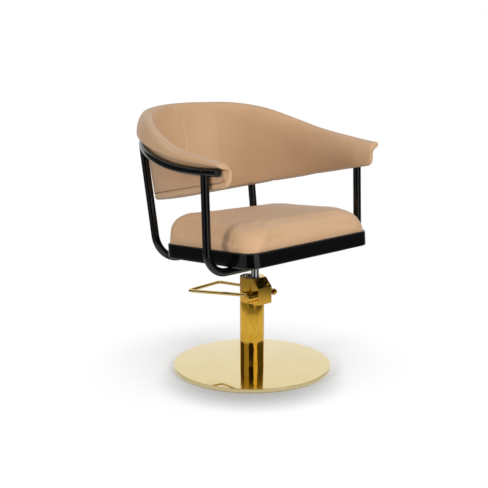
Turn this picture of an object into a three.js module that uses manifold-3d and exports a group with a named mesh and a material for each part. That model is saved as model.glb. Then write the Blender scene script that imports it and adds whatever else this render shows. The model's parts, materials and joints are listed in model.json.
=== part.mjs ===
// A hairdressing chair: a round pedestal with a foot-pumped lift, a black tube frame and an upholstered shell.
// Millimetres, +Z up. The floor is z = 0, the column stands on the Z axis and the sitter faces -Y.
// The seat is drawn level in its own frame, whose origin is where the piston rod's axis meets the tray's
// underside, and the whole seat group then leans back by SEAT_TILT_DEG.

import * as THREE from 'three';
import { mergeVertices } from 'three/addons/utils/BufferGeometryUtils.js';
import Module from 'manifold-3d';

const wasm = await Module();
wasm.setup();

// Clearances and cuts that every piece shares
const GAP = 0.3;
const OVERRUN = 4;
const ROUND_CUT_SHARE = 0.3;
const WELD = 0.0005;

// Base disc and its feet
const DISC_RADIUS = 260;
const DISC_THICK = 11;
const DISC_BEVEL = 2;
const DISC_LOWER_BEVEL = 1;
const FOOT_HEIGHT = 5;
const FOOT_RADIUS = 6.5;
const FOOT_INSET = 14;
const FOOT_COUNT = 3;
const FIRST_FOOT_DEG = 48;

// Column
const COLUMN_RADIUS = 40;
const COLUMN_WALL = 3;
const COLUMN_TOP = 313;
const COLUMN_JOINT = 230;
const CAP_THICK = 4;
const FLANGE_THICK = 12;
const BASE_BOLT_COUNT = 3;
const BASE_BOLT_RING = 24;
const BASE_BOLT_RADIUS = 4;
const BASE_BOLT_HEAD = 7.5;
const BASE_BOLT_HEAD_THICK = 5;
const BASE_BOLT_REACH = 8;

// Hydraulic cylinder, rod and the swivel on top of the rod
const ROD_Y = -13.9;
const ROD_RADIUS = 12.7;
const CYLINDER_RADIUS = 19;
const CYLINDER_BORE = 16.5;
const CYLINDER_FLOOR = 8;
const GLAND_DEPTH = 26;
const GLAND_NECK = 15.2;
const GLAND_PROUD = 1.5;
const PISTON_BOTTOM = 64;
const PISTON_HEIGHT = 20;
const STUD_RADIUS = 7;
const ROD_EXPOSED = 39;
const JOURNAL_RADIUS = 10;
const JOURNAL_LENGTH = 42;
const WASHER_RADIUS = 16;
const WASHER_THICK = 3;
const BUSH_WALL = 4;
const HUB_RADIUS = 24;
const HUB_SKIRT = 4;

// Pump head: the column's upper casting, with a block on its front for the pedal's axle
const SPIGOT_WALL = 3;
const SPIGOT_DEPTH = 15;
const HEAD_HALF_WIDTH = 29.5;
const HEAD_FRONT = 62;
const CHAMFER_RUN = 27;
const CHAMFER_DROP = 27;
const AXLE_Y = -46;
const AXLE_Z = 259;
const AXLE_RADIUS = 5;
const CAM_ARM = 9.5;
const CAM_WIDTH = 14;
const CAM_RADIUS = 3.5;
const CAM_BOSS = 7.5;
const CAM_CLEAR = 1;
const PLUNGER_RADIUS = 3;
const PLUNGER_LENGTH = 14;
const PLUNGER_TRAVEL = 4.5;

// Pedal: an axle, a clamp collar at one end, a round end piece at the other, and a rod bent into a loop
const COLLAR_RADIUS = 16;
const COLLAR_LENGTH = 36;
const COLLAR_BOSS_RADIUS = 5.5;
const COLLAR_BOSS_REACH = 22;
const COLLAR_SCREW_RADIUS = 3;
const COLLAR_SCREW_LENGTH = 9;
const KNOB_RADIUS = 10;
const KNOB_LENGTH = 17;
const KNOB_STAND_OFF = 19.5;
const PEDAL_ROD_RADIUS = 5;
const PEDAL_REACH = 295;
const PEDAL_NEAR_DROP = 33;
const PEDAL_FAR_DROP = 28.5;
const PEDAL_NEAR_ROOT = 6;
const PEDAL_FAR_ROOT = 4.5;
const PEDAL_NEAR_FLARE = 20;
const PEDAL_FAR_FLARE = 17;
const PEDAL_BAR_SKEW = 2.5;
const PEDAL_BEND = 12;

// Seat frame: where it stands and how it leans
const SEAT_STAND = 12.1;
const SEAT_TILT_DEG = 4.727;

// Tray, board and cushion
const TRAY_WIDTH = 528;
const TRAY_DEPTH = 420;
const TRAY_CENTRE_Y = -61;
const TRAY_CORNER = 50;
const TRAY_HEIGHT = 47;
const TRAY_WALL = 7;
const TRAY_FLOOR = 3;
const TRAY_TOP_ROUND = 5;
const TRAY_BOTTOM_ROUND = 4;
const BOARD_THICK = 12;
const CUSHION_TOP = 112;
const CUSHION_BACK_RISE = 7;
const CUSHION_CROWN = 8;
const CUSHION_ROUND = 34;
const CUSHION_BULGE = 3;
const CUSHION_FRONT_CORNER = 95;
const CUSHION_BACK_CORNER = 55;
const CUSHION_EDGE_SHARES = [0, 0.3, 0.55, 0.78, 1];
const CUSHION_CROWN_SHARES = [0.25, 0.55, 0.85];
const CROWN_POWER = 4;

// Tube frame
const TUBE_RADIUS = 12.5;
const TUBE_WALL = 2;
const PLATE_THICK = 6;
const PLATE_WIDTH = 236;
const PLATE_DEPTH = 190;
const BAR_WIDTH = 30;
const BAR_HEIGHT = 22;
const BAR_WALL = 2.5;
const BAR_X = 100;
const FRONT_Y = -148.4;
const FRONT_LEAN_SHARE = -0.046;
const REAR_SPLAY = 11.5;
const REAR_Y = 233.5;
const REAR_RAIL_DEG = 45.8;
const COPE_LOW = 3;
const FRONT_BEND = 72;
const REAR_BEND = 87;
const REAR_RUN_DROP = 8;
const SADDLE_X = 150;
const SADDLE_LENGTH = 44;
const SADDLE_WIDTH = 24;
const TRAY_SCREW_RADIUS = 3;
const TRAY_SCREW_HEAD = 6;
const TRAY_SCREW_HEAD_THICK = 3.5;
const HUB_BOLT_RADIUS = 4;
const HUB_BOLT_HEAD = 7;
const HUB_BOLT_HEAD_THICK = 5;
const HUB_BOLT_Y = 70;
const SCREW_BITE = 9;

// Rail round the shell: straight arms, then half an ellipse round the back
const RAIL_REACH = 63;
const RAIL_BACK = 400;
const RAIL_WIDEST_Y = -95;
const RAIL_FRONT_Y = -223;
const RAIL_LOW_Y = -170;
const RAIL_LOW_Z = 293.2;
const RAIL_RISE = 87;
const PLUG_DEPTH = 12;

// Shell: a pad whose rolled top hangs over the rail, a core and an outer panel in a recess of the pad
const SHELL_FRONT_Y = -251;
const CREST_FRONT_Z = 322;
const CREST_BACK_Z = 472;
const CREST_RISE_SHARES = [0, 0.137, 0.29, 0.53, 0.79, 0.94, 0.985, 1];
const CREST_IN_FRONT = 2;
const CREST_IN_BACK = 38;
const HEM_FRONT_Z = 249;
const HEM_BACK_Z = 153;
const HEM_IN_FRONT = 4;
const HEM_IN_BACK = 34;
const HEM_ROUND = 7;
const HEM_TUCK = 4;
const SHELL_CLEAR = 0.8;
const STEM_FRONT = 26;
const END_THIN = 9;
const END_THIN_LENGTH = 70;
const STEM_BACK = 38;
const LIP_OUT_FRONT = 16;
const LIP_OUT_BACK = 19;
const ROLL_FLATTEN_SHARE = 1.12;
const LIP_ROUND = 12;
const LIP_LIFT = 9;
const CREST_ROUND = 17;
const END_ROUND = 13;
const END_CORNER = 24;
const END_ROUND_SHARES = [0, 0.1, 0.32, 0.62, 1];
const END_TIP_SHARE = 0.3;
const BACK_POWER = 3;
const LIFT_POWER = 0.7;
const COVE_SHARE = 0.74;
const LIP_FALL_SHARE = 0.12;
const LIP_EDGE_SHARES = [0.1, 0.5];
const CREST_TOP_SHARES = [0.55, 0.14];
const CREST_INNER_SHARE = 0.5;
const CREST_ANCHOR_SHARE = 0.2;
const ROLL_SHARES = [0, 0.34, 0.68, 1];
const INSIDE_SHARES = [0, 0.15, 0.35, 0.6, 0.82, 1];
const STITCH_INSET = 16;
const PANEL_SETBACK = 17;
const PANEL_THICK = 3;
const CORE_THICK = 9;
const PANEL_HEAD = 5;
const SHELL_SCREW_RADIUS = 2.2;
const SHELL_SCREW_HEAD = 4;
const SHELL_SCREW_HEAD_THICK = 2.5;
const SHELL_SCREW_BITE = 6;
const SHELL_SCREW_DEGS = [8, 55, 90, 125, 172];

// Facets
const ROUND_SIDES = 20;
const COLUMN_SIDES = 40;
const DISC_SIDES = 64;
const TUBE_SIDES = 12;
const BORE_SIDES = 8;
const DOME_STEPS = 4;
const BEND_STEPS = 7;
const CORNER_STEPS = 6;
const RAIL_STEPS = 40;
const PLAN_STEPS = 180;

// Finishes
const GOLD = finish('mirror gold', 0xd8b45c, 0.08, 1);
const CHROME = finish('chrome', 0xd0d2d6, 0.1, 1);
const STEEL = finish('steel', 0x8a8c90, 0.35, 1);
const BLACK = finish('gloss black', 0x0b0b0d, 0.15, 0);
const RUBBER = finish('black rubber', 0x141414, 0.8, 0);
const BRONZE = finish('bronze', 0x9a6a3a, 0.4, 1);
const LEATHER = finish('tan leather', 0xc8a078, 0.5, 0);
const PLYWOOD = finish('plywood', 0xb8925e, 0.7, 0);

function finish(name, color, roughness, metalness) {
  return new THREE.MeshStandardMaterial({ name, color, roughness, metalness });
}

// Solids and booleans

/** A closed three.js geometry as a manifold solid, with its faces turned outward. */
function solidOf(geometry) {
  const bare = new THREE.BufferGeometry();
  bare.setAttribute('position', geometry.getAttribute('position').clone());
  if (geometry.index) bare.setIndex(geometry.index.clone());
  const merged = mergeVertices(bare, WELD);
  const points = merged.getAttribute('position');
  const corners = [];
  let volume = 0;
  for (let i = 0; i < merged.index.count; i += 3) {
    const [a, b, c] = [0, 1, 2].map((k) => merged.index.getX(i + k));
    if (a === b || b === c || c === a) continue;
    corners.push([a, b, c]);
    const [p, q, r] = [a, b, c].map((k) => new THREE.Vector3().fromBufferAttribute(points, k));
    volume += p.dot(q.cross(r));
  }
  const triVerts = Uint32Array.from(corners.flatMap(([a, b, c]) => (volume < 0 ? [a, c, b] : [a, b, c])));
  const vertProperties = Float32Array.from(points.array);
  return new wasm.Manifold(new wasm.Mesh({ numProp: 3, vertProperties, triVerts }));
}

/** A manifold solid as a three.js geometry. */
function geometryOf(solid) {
  const mesh = solid.getMesh();
  const geometry = new THREE.BufferGeometry();
  geometry.setAttribute('position', new THREE.BufferAttribute(Float32Array.from(mesh.vertProperties), 3));
  geometry.setIndex(new THREE.BufferAttribute(Uint32Array.from(mesh.triVerts), 1));
  geometry.computeVertexNormals();
  return geometry;
}

/** The first geometry less all the others. */
function cut(body, ...tools) {
  return geometryOf(tools.reduce((solid, tool) => solid.subtract(solidOf(tool)), solidOf(body)));
}

/** All the geometries joined into one solid. */
function fuse(...bodies) {
  return geometryOf(bodies.map(solidOf).reduce((solid, other) => solid.add(other)));
}

// Basic shapes

/** A profile of [radius, height] points turned about the Z axis. */
function turned(profile, sides = ROUND_SIDES) {
  const points = profile.map(([radius, z]) => new THREE.Vector2(radius, z));
  return new THREE.LatheGeometry(points, sides).rotateX(Math.PI / 2);
}

/** A plain cylinder along Z. */
function cylinder(radius, bottom, top, sides = ROUND_SIDES) {
  return turned([[0, bottom], [radius, bottom], [radius, top], [0, top]], sides);
}

/** A ring along Z. */
function ring(outer, inner, bottom, top, sides = ROUND_SIDES) {
  return turned([[inner, bottom], [outer, bottom], [outer, top], [inner, top], [inner, bottom]], sides);
}

/** A box given by its low and high corners. */
function box(low, high) {
  const [x, y, z] = [0, 1, 2].map((k) => high[k] - low[k]);
  return new THREE.BoxGeometry(x, y, z).translate(low[0] + x / 2, low[1] + y / 2, low[2] + z / 2);
}

/** A geometry that stands along Z, laid along the X axis. */
function alongX(geometry) {
  return geometry.rotateY(Math.PI / 2);
}

/** What clears a screw or a bolt between two heights, run on past both. */
function hole(shankRadius, bottom, top) {
  return cylinder(shankRadius + GAP, bottom - OVERRUN, top + OVERRUN, BORE_SIDES);
}

/** Points on a circle, as [x, y] pairs. */
function circlePoints(radius, count, firstDeg = 0) {
  return Array.from({ length: count }, (_, k) => {
    const angle = THREE.MathUtils.degToRad(firstDeg) + (k / count) * 2 * Math.PI;
    return [radius * Math.cos(angle), radius * Math.sin(angle)];
  });
}

/** A bolt that points up: a head under `seat` and a shank that ends at `tip`. */
function bolt(shankRadius, headRadius, headThick, seat, tip, sides = BORE_SIDES) {
  const profile = [[0, seat - headThick], [headRadius, seat - headThick], [headRadius, seat]];
  return turned([...profile, [shankRadius, seat], [shankRadius, tip], [0, tip]], sides);
}

/** A path through given points, sampled exactly at those points. */
class KnotPath extends THREE.Curve {
  constructor(knots) {
    super();
    this.knots = knots;
    this.steps = knots.length - 1;
  }

  getPoint(t, target = new THREE.Vector3()) {
    const place = Math.min(t * this.steps, this.steps - WELD);
    const k = Math.floor(place);
    return target.copy(this.knots[k]).lerp(this.knots[k + 1], place - k);
  }

  getTangent(t, target = new THREE.Vector3()) {
    const k = Math.round(t * this.steps);
    const [before, here, after] = [Math.max(k - 1, 0), k, Math.min(k + 1, this.steps)].map((j) => this.knots[j]);
    const arriving = here.clone().sub(before).normalize();
    return target.copy(after).sub(here).normalize().add(arriving).normalize();
  }

  getUtoTmapping(u) {
    return u;
  }
}

/** A polyline whose corners are rounded to `radius`. */
function bentPath(corners, radius, steps = BEND_STEPS) {
  const knots = [corners[0].clone()];
  for (let k = 1; k < corners.length - 1; k += 1) {
    const [before, corner, after] = [corners[k - 1], corners[k], corners[k + 1]];
    const into = corner.clone().sub(before).normalize();
    const out = after.clone().sub(corner).normalize();
    const turn = into.angleTo(out);
    const start = corner.clone().addScaledVector(into, -radius * Math.tan(turn / 2));
    const inward = out.clone().addScaledVector(into, -out.dot(into)).normalize();
    for (let j = 0; j <= steps; j += 1) {
      const angle = (turn * j) / steps;
      const point = start.clone().addScaledVector(into, radius * Math.sin(angle));
      knots.push(point.addScaledVector(inward, radius * (1 - Math.cos(angle))));
    }
  }
  knots.push(corners[corners.length - 1].clone());
  return new KnotPath(knots);
}

/** A round bar or, with a bore, a tube along a path. */
function tubeAlong(path, radius, bore = 0, sides = TUBE_SIDES) {
  const section = new THREE.Shape(circlePoints(radius, sides).map(([x, y]) => new THREE.Vector2(x, y)));
  const inner = circlePoints(bore, BORE_SIDES).map(([x, y]) => new THREE.Vector2(x, y));
  if (bore > 0) section.holes.push(new THREE.Path(inner));
  return new THREE.ExtrudeGeometry(section, { steps: path.steps, extrudePath: path, bevelEnabled: false });
}

/** A closed skin over rings of points, each ring with the same count, capped at both ends. */
function loft(rings) {
  const count = rings[0].length;
  const positions = rings.flat().flatMap((point) => point.toArray());
  const index = [];
  for (let k = 0; k < rings.length - 1; k += 1) {
    for (let j = 0; j < count; j += 1) {
      const [a, b] = [k * count + j, k * count + ((j + 1) % count)];
      index.push(a, b, b + count, a, b + count, a + count);
    }
  }
  [rings[0], rings[rings.length - 1]].forEach((end, side) => {
    const first = side * (rings.length - 1) * count;
    const flat = flattened(end);
    THREE.ShapeUtils.triangulateShape(flat, []).forEach(([a, b, c]) => {
      index.push(...(side === 0 ? [first + a, first + c, first + b] : [first + a, first + b, first + c]));
    });
  });
  const geometry = new THREE.BufferGeometry();
  geometry.setAttribute('position', new THREE.Float32BufferAttribute(positions, 3));
  geometry.setIndex(index);
  return geometryOf(solidOf(geometry));
}

/** A ring of points seen square on, as 2D points in the ring's own order, counterclockwise. */
function flattened(points) {
  const normal = new THREE.Vector3();
  points.forEach((point, k) => normal.add(point.clone().cross(points[(k + 1) % points.length])));
  normal.normalize();
  const across = points[1].clone().sub(points[0]).projectOnPlane(normal).normalize();
  const up = normal.clone().cross(across);
  return points.map((point) => new THREE.Vector2(point.dot(across), point.dot(up)));
}

/** A rounded rectangle about the tray's centre at height z, drawn in by `inset` on every side. */
function trayOutline(inset, z, backCorner = TRAY_CORNER, frontCorner = backCorner) {
  const points = [];
  [[1, 1], [-1, 1], [-1, -1], [1, -1]].forEach(([sx, sy], quarter) => {
    const radius = Math.max((sy > 0 ? backCorner : frontCorner) - inset, GAP);
    const [halfX, halfY] = [TRAY_WIDTH / 2 - inset - radius, TRAY_DEPTH / 2 - inset - radius];
    for (let j = 0; j <= CORNER_STEPS; j += 1) {
      const angle = (quarter + j / CORNER_STEPS) * (Math.PI / 2);
      const x = sx * halfX + radius * Math.cos(angle);
      points.push(new THREE.Vector3(x, TRAY_CENTRE_Y + sy * halfY + radius * Math.sin(angle), z));
    }
  });
  return points;
}

// Heights that several pieces share
const discTop = FOOT_HEIGHT + DISC_THICK;
const rodShoulder = COLUMN_TOP + ROD_EXPOSED;
const flangeBottom = discTop + GAP;
const flangeTop = flangeBottom + FLANGE_THICK;
const columnBore = COLUMN_RADIUS - COLUMN_WALL;
const cylinderBottom = flangeTop + GAP;
const capBottom = COLUMN_TOP - CAP_THICK;
const headBore = columnBore - GAP - SPIGOT_WALL;
const cylinderTop = capBottom - GAP;
const camSlotReach = CAM_BOSS + CAM_CLEAR;
const plungerY = AXLE_Y - CAM_ARM;
const plungerBottom = AXLE_Z + CAM_RADIUS + GAP;
const plungerTop = plungerBottom + PLUNGER_LENGTH;
const rodBottom = PISTON_BOTTOM + PISTON_HEIGHT + GAP;
const washerBottom = rodShoulder + GAP;
const washerTop = washerBottom + WASHER_THICK;
const hubBottom = rodShoulder - HUB_SKIRT;
const bushBottom = washerTop + GAP;
const journalTop = rodShoulder + JOURNAL_LENGTH;
const seatZ = journalTop + SEAT_STAND;
const railHalfWidth = TRAY_WIDTH / 2 + RAIL_REACH;
const plateTop = -GAP;
const plateBottom = plateTop - PLATE_THICK;
const barTop = plateBottom - GAP;
const barBottom = barTop - BAR_HEIGHT;
const runZ = barTop - BAR_HEIGHT / 2;
const rearRunZ = runZ - REAR_RUN_DROP;
const boardBottom = TRAY_FLOOR + GAP;
const boardTop = boardBottom + BOARD_THICK;
const cushionBottom = boardTop + GAP;

// Base

function baseDisc() {
  const rim = DISC_RADIUS - DISC_BEVEL;
  const lower = DISC_RADIUS - DISC_LOWER_BEVEL;
  const profile = [[0, FOOT_HEIGHT], [lower, FOOT_HEIGHT], [DISC_RADIUS, FOOT_HEIGHT + DISC_LOWER_BEVEL]];
  const disc = turned([...profile, [DISC_RADIUS, discTop - DISC_BEVEL], [rim, discTop], [0, discTop]], DISC_SIDES);
  const seat = FOOT_HEIGHT + BASE_BOLT_HEAD_THICK + GAP;
  const holes = baseBoltPlaces().flatMap(([x, y]) => {
    const shank = hole(BASE_BOLT_RADIUS, FOOT_HEIGHT, discTop);
    const sink = hole(BASE_BOLT_HEAD, FOOT_HEIGHT, seat + GAP - OVERRUN);
    return [shank.translate(x, y, 0), sink.translate(x, y, 0)];
  });
  return cut(disc, ...holes);
}

function baseBoltPlaces() {
  return circlePoints(BASE_BOLT_RING, BASE_BOLT_COUNT, 360 / BASE_BOLT_COUNT / 2);
}

function baseFeet() {
  return circlePoints(DISC_RADIUS - FOOT_INSET, FOOT_COUNT, FIRST_FOOT_DEG).map(([x, y]) => (
    cylinder(FOOT_RADIUS, 0, FOOT_HEIGHT, TUBE_SIDES).translate(x, y, 0)
  ));
}

function baseBolts() {
  const seat = FOOT_HEIGHT + BASE_BOLT_HEAD_THICK + GAP;
  return baseBoltPlaces().map(([x, y]) => (
    bolt(BASE_BOLT_RADIUS, BASE_BOLT_HEAD, BASE_BOLT_HEAD_THICK, seat, flangeBottom + BASE_BOLT_REACH)
      .translate(x, y, 0)
  ));
}

function columnFlange() {
  const flange = cylinder(columnBore - GAP, flangeBottom, flangeTop, COLUMN_SIDES);
  const holeTop = flangeBottom + BASE_BOLT_REACH + GAP;
  return cut(flange, ...baseBoltPlaces().map(([x, y]) => (
    hole(BASE_BOLT_RADIUS, flangeBottom, holeTop - OVERRUN).translate(x, y, 0)
  )));
}

function columnTube() {
  return ring(COLUMN_RADIUS, columnBore, discTop, COLUMN_JOINT - GAP, COLUMN_SIDES);
}

function columnCap() {
  const plate = cylinder(headBore - GAP, capBottom, COLUMN_TOP, COLUMN_SIDES);
  const hole = cylinder(GLAND_NECK + GAP, capBottom - OVERRUN, COLUMN_TOP + OVERRUN);
  return cut(plate, hole.translate(0, ROD_Y, 0));
}

// Hydraulic lift: every piece here is drawn on its own axis and then stands at ROD_Y

function pumpCylinder() {
  const floor = cylinderBottom + CYLINDER_FLOOR;
  const outside = [[0, cylinderBottom], [CYLINDER_RADIUS, cylinderBottom], [CYLINDER_RADIUS, cylinderTop]];
  return turned([...outside, [CYLINDER_BORE, cylinderTop], [CYLINDER_BORE, floor], [0, floor]]);
}

function rodGland() {
  const [inner, outer] = [ROD_RADIUS + GAP, CYLINDER_BORE - GAP];
  const [bottom, top] = [cylinderTop - GLAND_DEPTH, COLUMN_TOP + GLAND_PROUD];
  const profile = [[inner, bottom], [outer, bottom], [outer, cylinderTop], [GLAND_NECK, cylinderTop]];
  return turned([...profile, [GLAND_NECK, top], [inner, top], [inner, bottom]]);
}

function rodPiston() {
  return ring(CYLINDER_BORE - GAP, STUD_RADIUS + GAP, PISTON_BOTTOM, PISTON_BOTTOM + PISTON_HEIGHT);
}

function pistonRod() {
  const stud = [[0, PISTON_BOTTOM], [STUD_RADIUS, PISTON_BOTTOM], [STUD_RADIUS, rodBottom], [ROD_RADIUS, rodBottom]];
  const journal = [[JOURNAL_RADIUS, rodShoulder], [JOURNAL_RADIUS, journalTop], [0, journalTop]];
  return turned([...stud, [ROD_RADIUS, rodShoulder], ...journal]);
}

function thrustWasher() {
  return ring(WASHER_RADIUS, JOURNAL_RADIUS + GAP, washerBottom, washerTop);
}

function swivelBush() {
  const inner = JOURNAL_RADIUS + GAP;
  return ring(inner + BUSH_WALL, inner, bushBottom, journalTop);
}

function seatHub() {
  const [skirt, bore] = [WASHER_RADIUS + GAP, JOURNAL_RADIUS + BUSH_WALL + GAP + GAP];
  const profile = [[skirt, hubBottom], [HUB_RADIUS, hubBottom], [HUB_RADIUS, seatZ], [bore, seatZ]];
  const hub = turned([...profile, [bore, washerTop + GAP], [skirt, washerTop + GAP], [skirt, hubBottom]]);
  const above = box([-PLATE_WIDTH, -PLATE_DEPTH, barTop], [PLATE_WIDTH, PLATE_DEPTH, TRAY_HEIGHT]);
  return cut(hub, above.rotateX(-THREE.MathUtils.degToRad(SEAT_TILT_DEG)).translate(0, 0, seatZ));
}

// Pump head

/** The casting: the column's upper stretch, its spigot and its front block, hollowed for what it carries. */
function pumpHead() {
  const sleeve = cylinder(COLUMN_RADIUS, COLUMN_JOINT, COLUMN_TOP, COLUMN_SIDES);
  const spigot = cylinder(columnBore - GAP, COLUMN_JOINT - SPIGOT_DEPTH, COLUMN_TOP, COLUMN_SIDES);
  const long = 2 * HEAD_FRONT;
  const bore = cylinder(headBore, COLUMN_JOINT - SPIGOT_DEPTH - OVERRUN, COLUMN_TOP + OVERRUN, COLUMN_SIDES);
  const axleHole = alongX(cylinder(AXLE_RADIUS + GAP, -long, long)).translate(0, AXLE_Y, AXLE_Z);
  const halfSlot = CAM_WIDTH / 2 + CAM_CLEAR;
  const slotFront = plungerY - CAM_RADIUS - CAM_CLEAR;
  const slot = box([-halfSlot, slotFront, AXLE_Z - camSlotReach], [halfSlot, 0, AXLE_Z + camSlotReach]);
  const barrelTop = plungerTop + PLUNGER_TRAVEL + GAP;
  const barrel = cylinder(PLUNGER_RADIUS + GAP, AXLE_Z, barrelTop).translate(0, plungerY, 0);
  return cut(fuse(sleeve, spigot, headBlock()), bore, axleHole, slot, barrel);
}

/** The front block: its side outline with the chamfered top, extruded across X. */
function headBlock() {
  const outline = new THREE.Shape([
    new THREE.Vector2(0, COLUMN_JOINT),
    new THREE.Vector2(-HEAD_FRONT, COLUMN_JOINT),
    new THREE.Vector2(-HEAD_FRONT, COLUMN_TOP - CHAMFER_DROP),
    new THREE.Vector2(-HEAD_FRONT + CHAMFER_RUN, COLUMN_TOP),
    new THREE.Vector2(0, COLUMN_TOP),
  ]);
  const block = new THREE.ExtrudeGeometry(outline, { depth: 2 * HEAD_HALF_WIDTH, bevelEnabled: false });
  const [along, up, across] = [new THREE.Vector3(0, 1, 0), new THREE.Vector3(0, 0, 1), new THREE.Vector3(1, 0, 0)];
  const turn = new THREE.Matrix4().makeBasis(along, up, across);
  return block.applyMatrix4(turn).translate(-HEAD_HALF_WIDTH, 0, 0);
}

function pumpPlunger() {
  return cylinder(PLUNGER_RADIUS, plungerBottom, plungerTop).translate(0, plungerY, 0);
}

// Pedal: every piece here is drawn about the axle's own axis

function pedalAxle() {
  const near = -HEAD_HALF_WIDTH - GAP - COLLAR_LENGTH;
  const far = HEAD_HALF_WIDTH + KNOB_STAND_OFF + KNOB_LENGTH - KNOB_RADIUS;
  return alongX(cylinder(AXLE_RADIUS, near, far));
}

function pumpCam() {
  const half = CAM_WIDTH / 2;
  const boss = alongX(cylinder(CAM_BOSS, -half, half));
  const lobe = alongX(cylinder(CAM_RADIUS, -half, half)).translate(0, -CAM_ARM, 0);
  const web = box([-half, -CAM_ARM, -CAM_RADIUS], [half, 0, CAM_RADIUS]);
  return cut(fuse(boss, web, lobe), alongX(cylinder(AXLE_RADIUS + GAP, -half - OVERRUN, half + OVERRUN)));
}

/** Where the pedal's rod leaves the collar and the end piece, and its two corners. */
function pedalCorners() {
  const nearX = -HEAD_HALF_WIDTH - GAP - COLLAR_LENGTH / 2;
  const farX = HEAD_HALF_WIDTH + KNOB_STAND_OFF + KNOB_LENGTH / 2;
  return [
    new THREE.Vector3(nearX, 0, PEDAL_NEAR_ROOT),
    new THREE.Vector3(nearX - PEDAL_NEAR_FLARE, PEDAL_REACH - PEDAL_BAR_SKEW, -PEDAL_NEAR_DROP),
    new THREE.Vector3(farX + PEDAL_FAR_FLARE, PEDAL_REACH + PEDAL_BAR_SKEW, -PEDAL_FAR_DROP),
    new THREE.Vector3(farX, 0, PEDAL_FAR_ROOT),
  ];
}

function pedalLoop() {
  const loop = tubeAlong(bentPath(pedalCorners(), PEDAL_BEND), PEDAL_ROD_RADIUS);
  const long = HEAD_HALF_WIDTH + 2 * COLLAR_LENGTH;
  const collar = alongX(cylinder(COLLAR_RADIUS + GAP, -long, 0));
  const knob = alongX(cylinder(KNOB_RADIUS + GAP, 0, long));
  return cut(loop, collar, knob);
}

function pedalCollar() {
  const [inner, outer] = [-HEAD_HALF_WIDTH - GAP, -HEAD_HALF_WIDTH - GAP - COLLAR_LENGTH];
  const middle = (inner + outer) / 2;
  const sleeve = alongX(cylinder(COLLAR_RADIUS, outer, inner));
  const boss = cylinder(COLLAR_BOSS_RADIUS, -COLLAR_BOSS_REACH, 0).translate(middle, 0, 0);
  const bore = alongX(cylinder(AXLE_RADIUS + GAP, outer - OVERRUN, inner + OVERRUN));
  const tapped = hole(COLLAR_SCREW_RADIUS, -COLLAR_BOSS_REACH, -OVERRUN).translate(middle, 0, 0);
  return cut(fuse(sleeve, boss), bore, tapped);
}

function collarScrew() {
  const middle = -HEAD_HALF_WIDTH - GAP - COLLAR_LENGTH / 2;
  const tip = -AXLE_RADIUS - GAP;
  return cylinder(COLLAR_SCREW_RADIUS, tip - COLLAR_SCREW_LENGTH, tip, BORE_SIDES).translate(middle, 0, 0);
}

function pedalKnob() {
  const start = HEAD_HALF_WIDTH + KNOB_STAND_OFF;
  const end = start + KNOB_LENGTH;
  const dome = circleArc(KNOB_RADIUS, end - KNOB_RADIUS);
  const knob = alongX(turned([[0, start], [KNOB_RADIUS, start], ...dome, [0, end]]));
  const bore = alongX(cylinder(AXLE_RADIUS + GAP, start - OVERRUN, end - KNOB_RADIUS + GAP));
  return cut(knob, bore);
}

/** A quarter circle from its widest point up to the axis, as lathe points without the one on the axis. */
function circleArc(radius, centre) {
  return Array.from({ length: DOME_STEPS }, (_, k) => {
    const angle = (k / DOME_STEPS) * (Math.PI / 2);
    return [radius * Math.cos(angle), centre + radius * Math.sin(angle)];
  });
}

// Tray, board and cushion

function seatTray() {
  const outside = [
    trayOutline(TRAY_BOTTOM_ROUND, 0),
    trayOutline(TRAY_BOTTOM_ROUND * ROUND_CUT_SHARE, TRAY_BOTTOM_ROUND * ROUND_CUT_SHARE),
    trayOutline(0, TRAY_BOTTOM_ROUND),
    trayOutline(0, TRAY_HEIGHT - TRAY_TOP_ROUND),
    trayOutline(TRAY_TOP_ROUND * ROUND_CUT_SHARE, TRAY_HEIGHT - TRAY_TOP_ROUND * ROUND_CUT_SHARE),
    trayOutline(TRAY_TOP_ROUND, TRAY_HEIGHT),
  ];
  const inside = [trayOutline(TRAY_WALL, TRAY_HEIGHT), trayOutline(TRAY_WALL, TRAY_FLOOR)];
  const pan = loft([...outside, ...inside]);
  return cut(pan, ...throughTray(0, TRAY_FLOOR));
}

/** Clearance holes for every screw and bolt that goes up through the tray, between two heights. */
function throughTray(bottom, top) {
  const bolts = hubBoltPlaces().map(([x, y]) => hole(HUB_BOLT_RADIUS, bottom, top).translate(x, y, 0));
  const screws = trayScrewPlaces().map(([x, y]) => (
    hole(TRAY_SCREW_RADIUS, bottom, top).translate(x, y, 0)
  ));
  return [...bolts, ...screws];
}

function hubBoltPlaces() {
  return [[BAR_X, HUB_BOLT_Y], [-BAR_X, HUB_BOLT_Y], [-BAR_X, -HUB_BOLT_Y], [BAR_X, -HUB_BOLT_Y]];
}

function trayScrewPlaces() {
  return [[SADDLE_X, frontY(runZ)], [-SADDLE_X, frontY(runZ)]];
}

function seatBoard() {
  const inset = TRAY_WALL + GAP;
  const board = loft([trayOutline(inset, boardBottom), trayOutline(inset, boardTop)]);
  return cut(board, ...throughTray(boardBottom, boardBottom + SCREW_BITE + GAP - OVERRUN));
}

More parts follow.
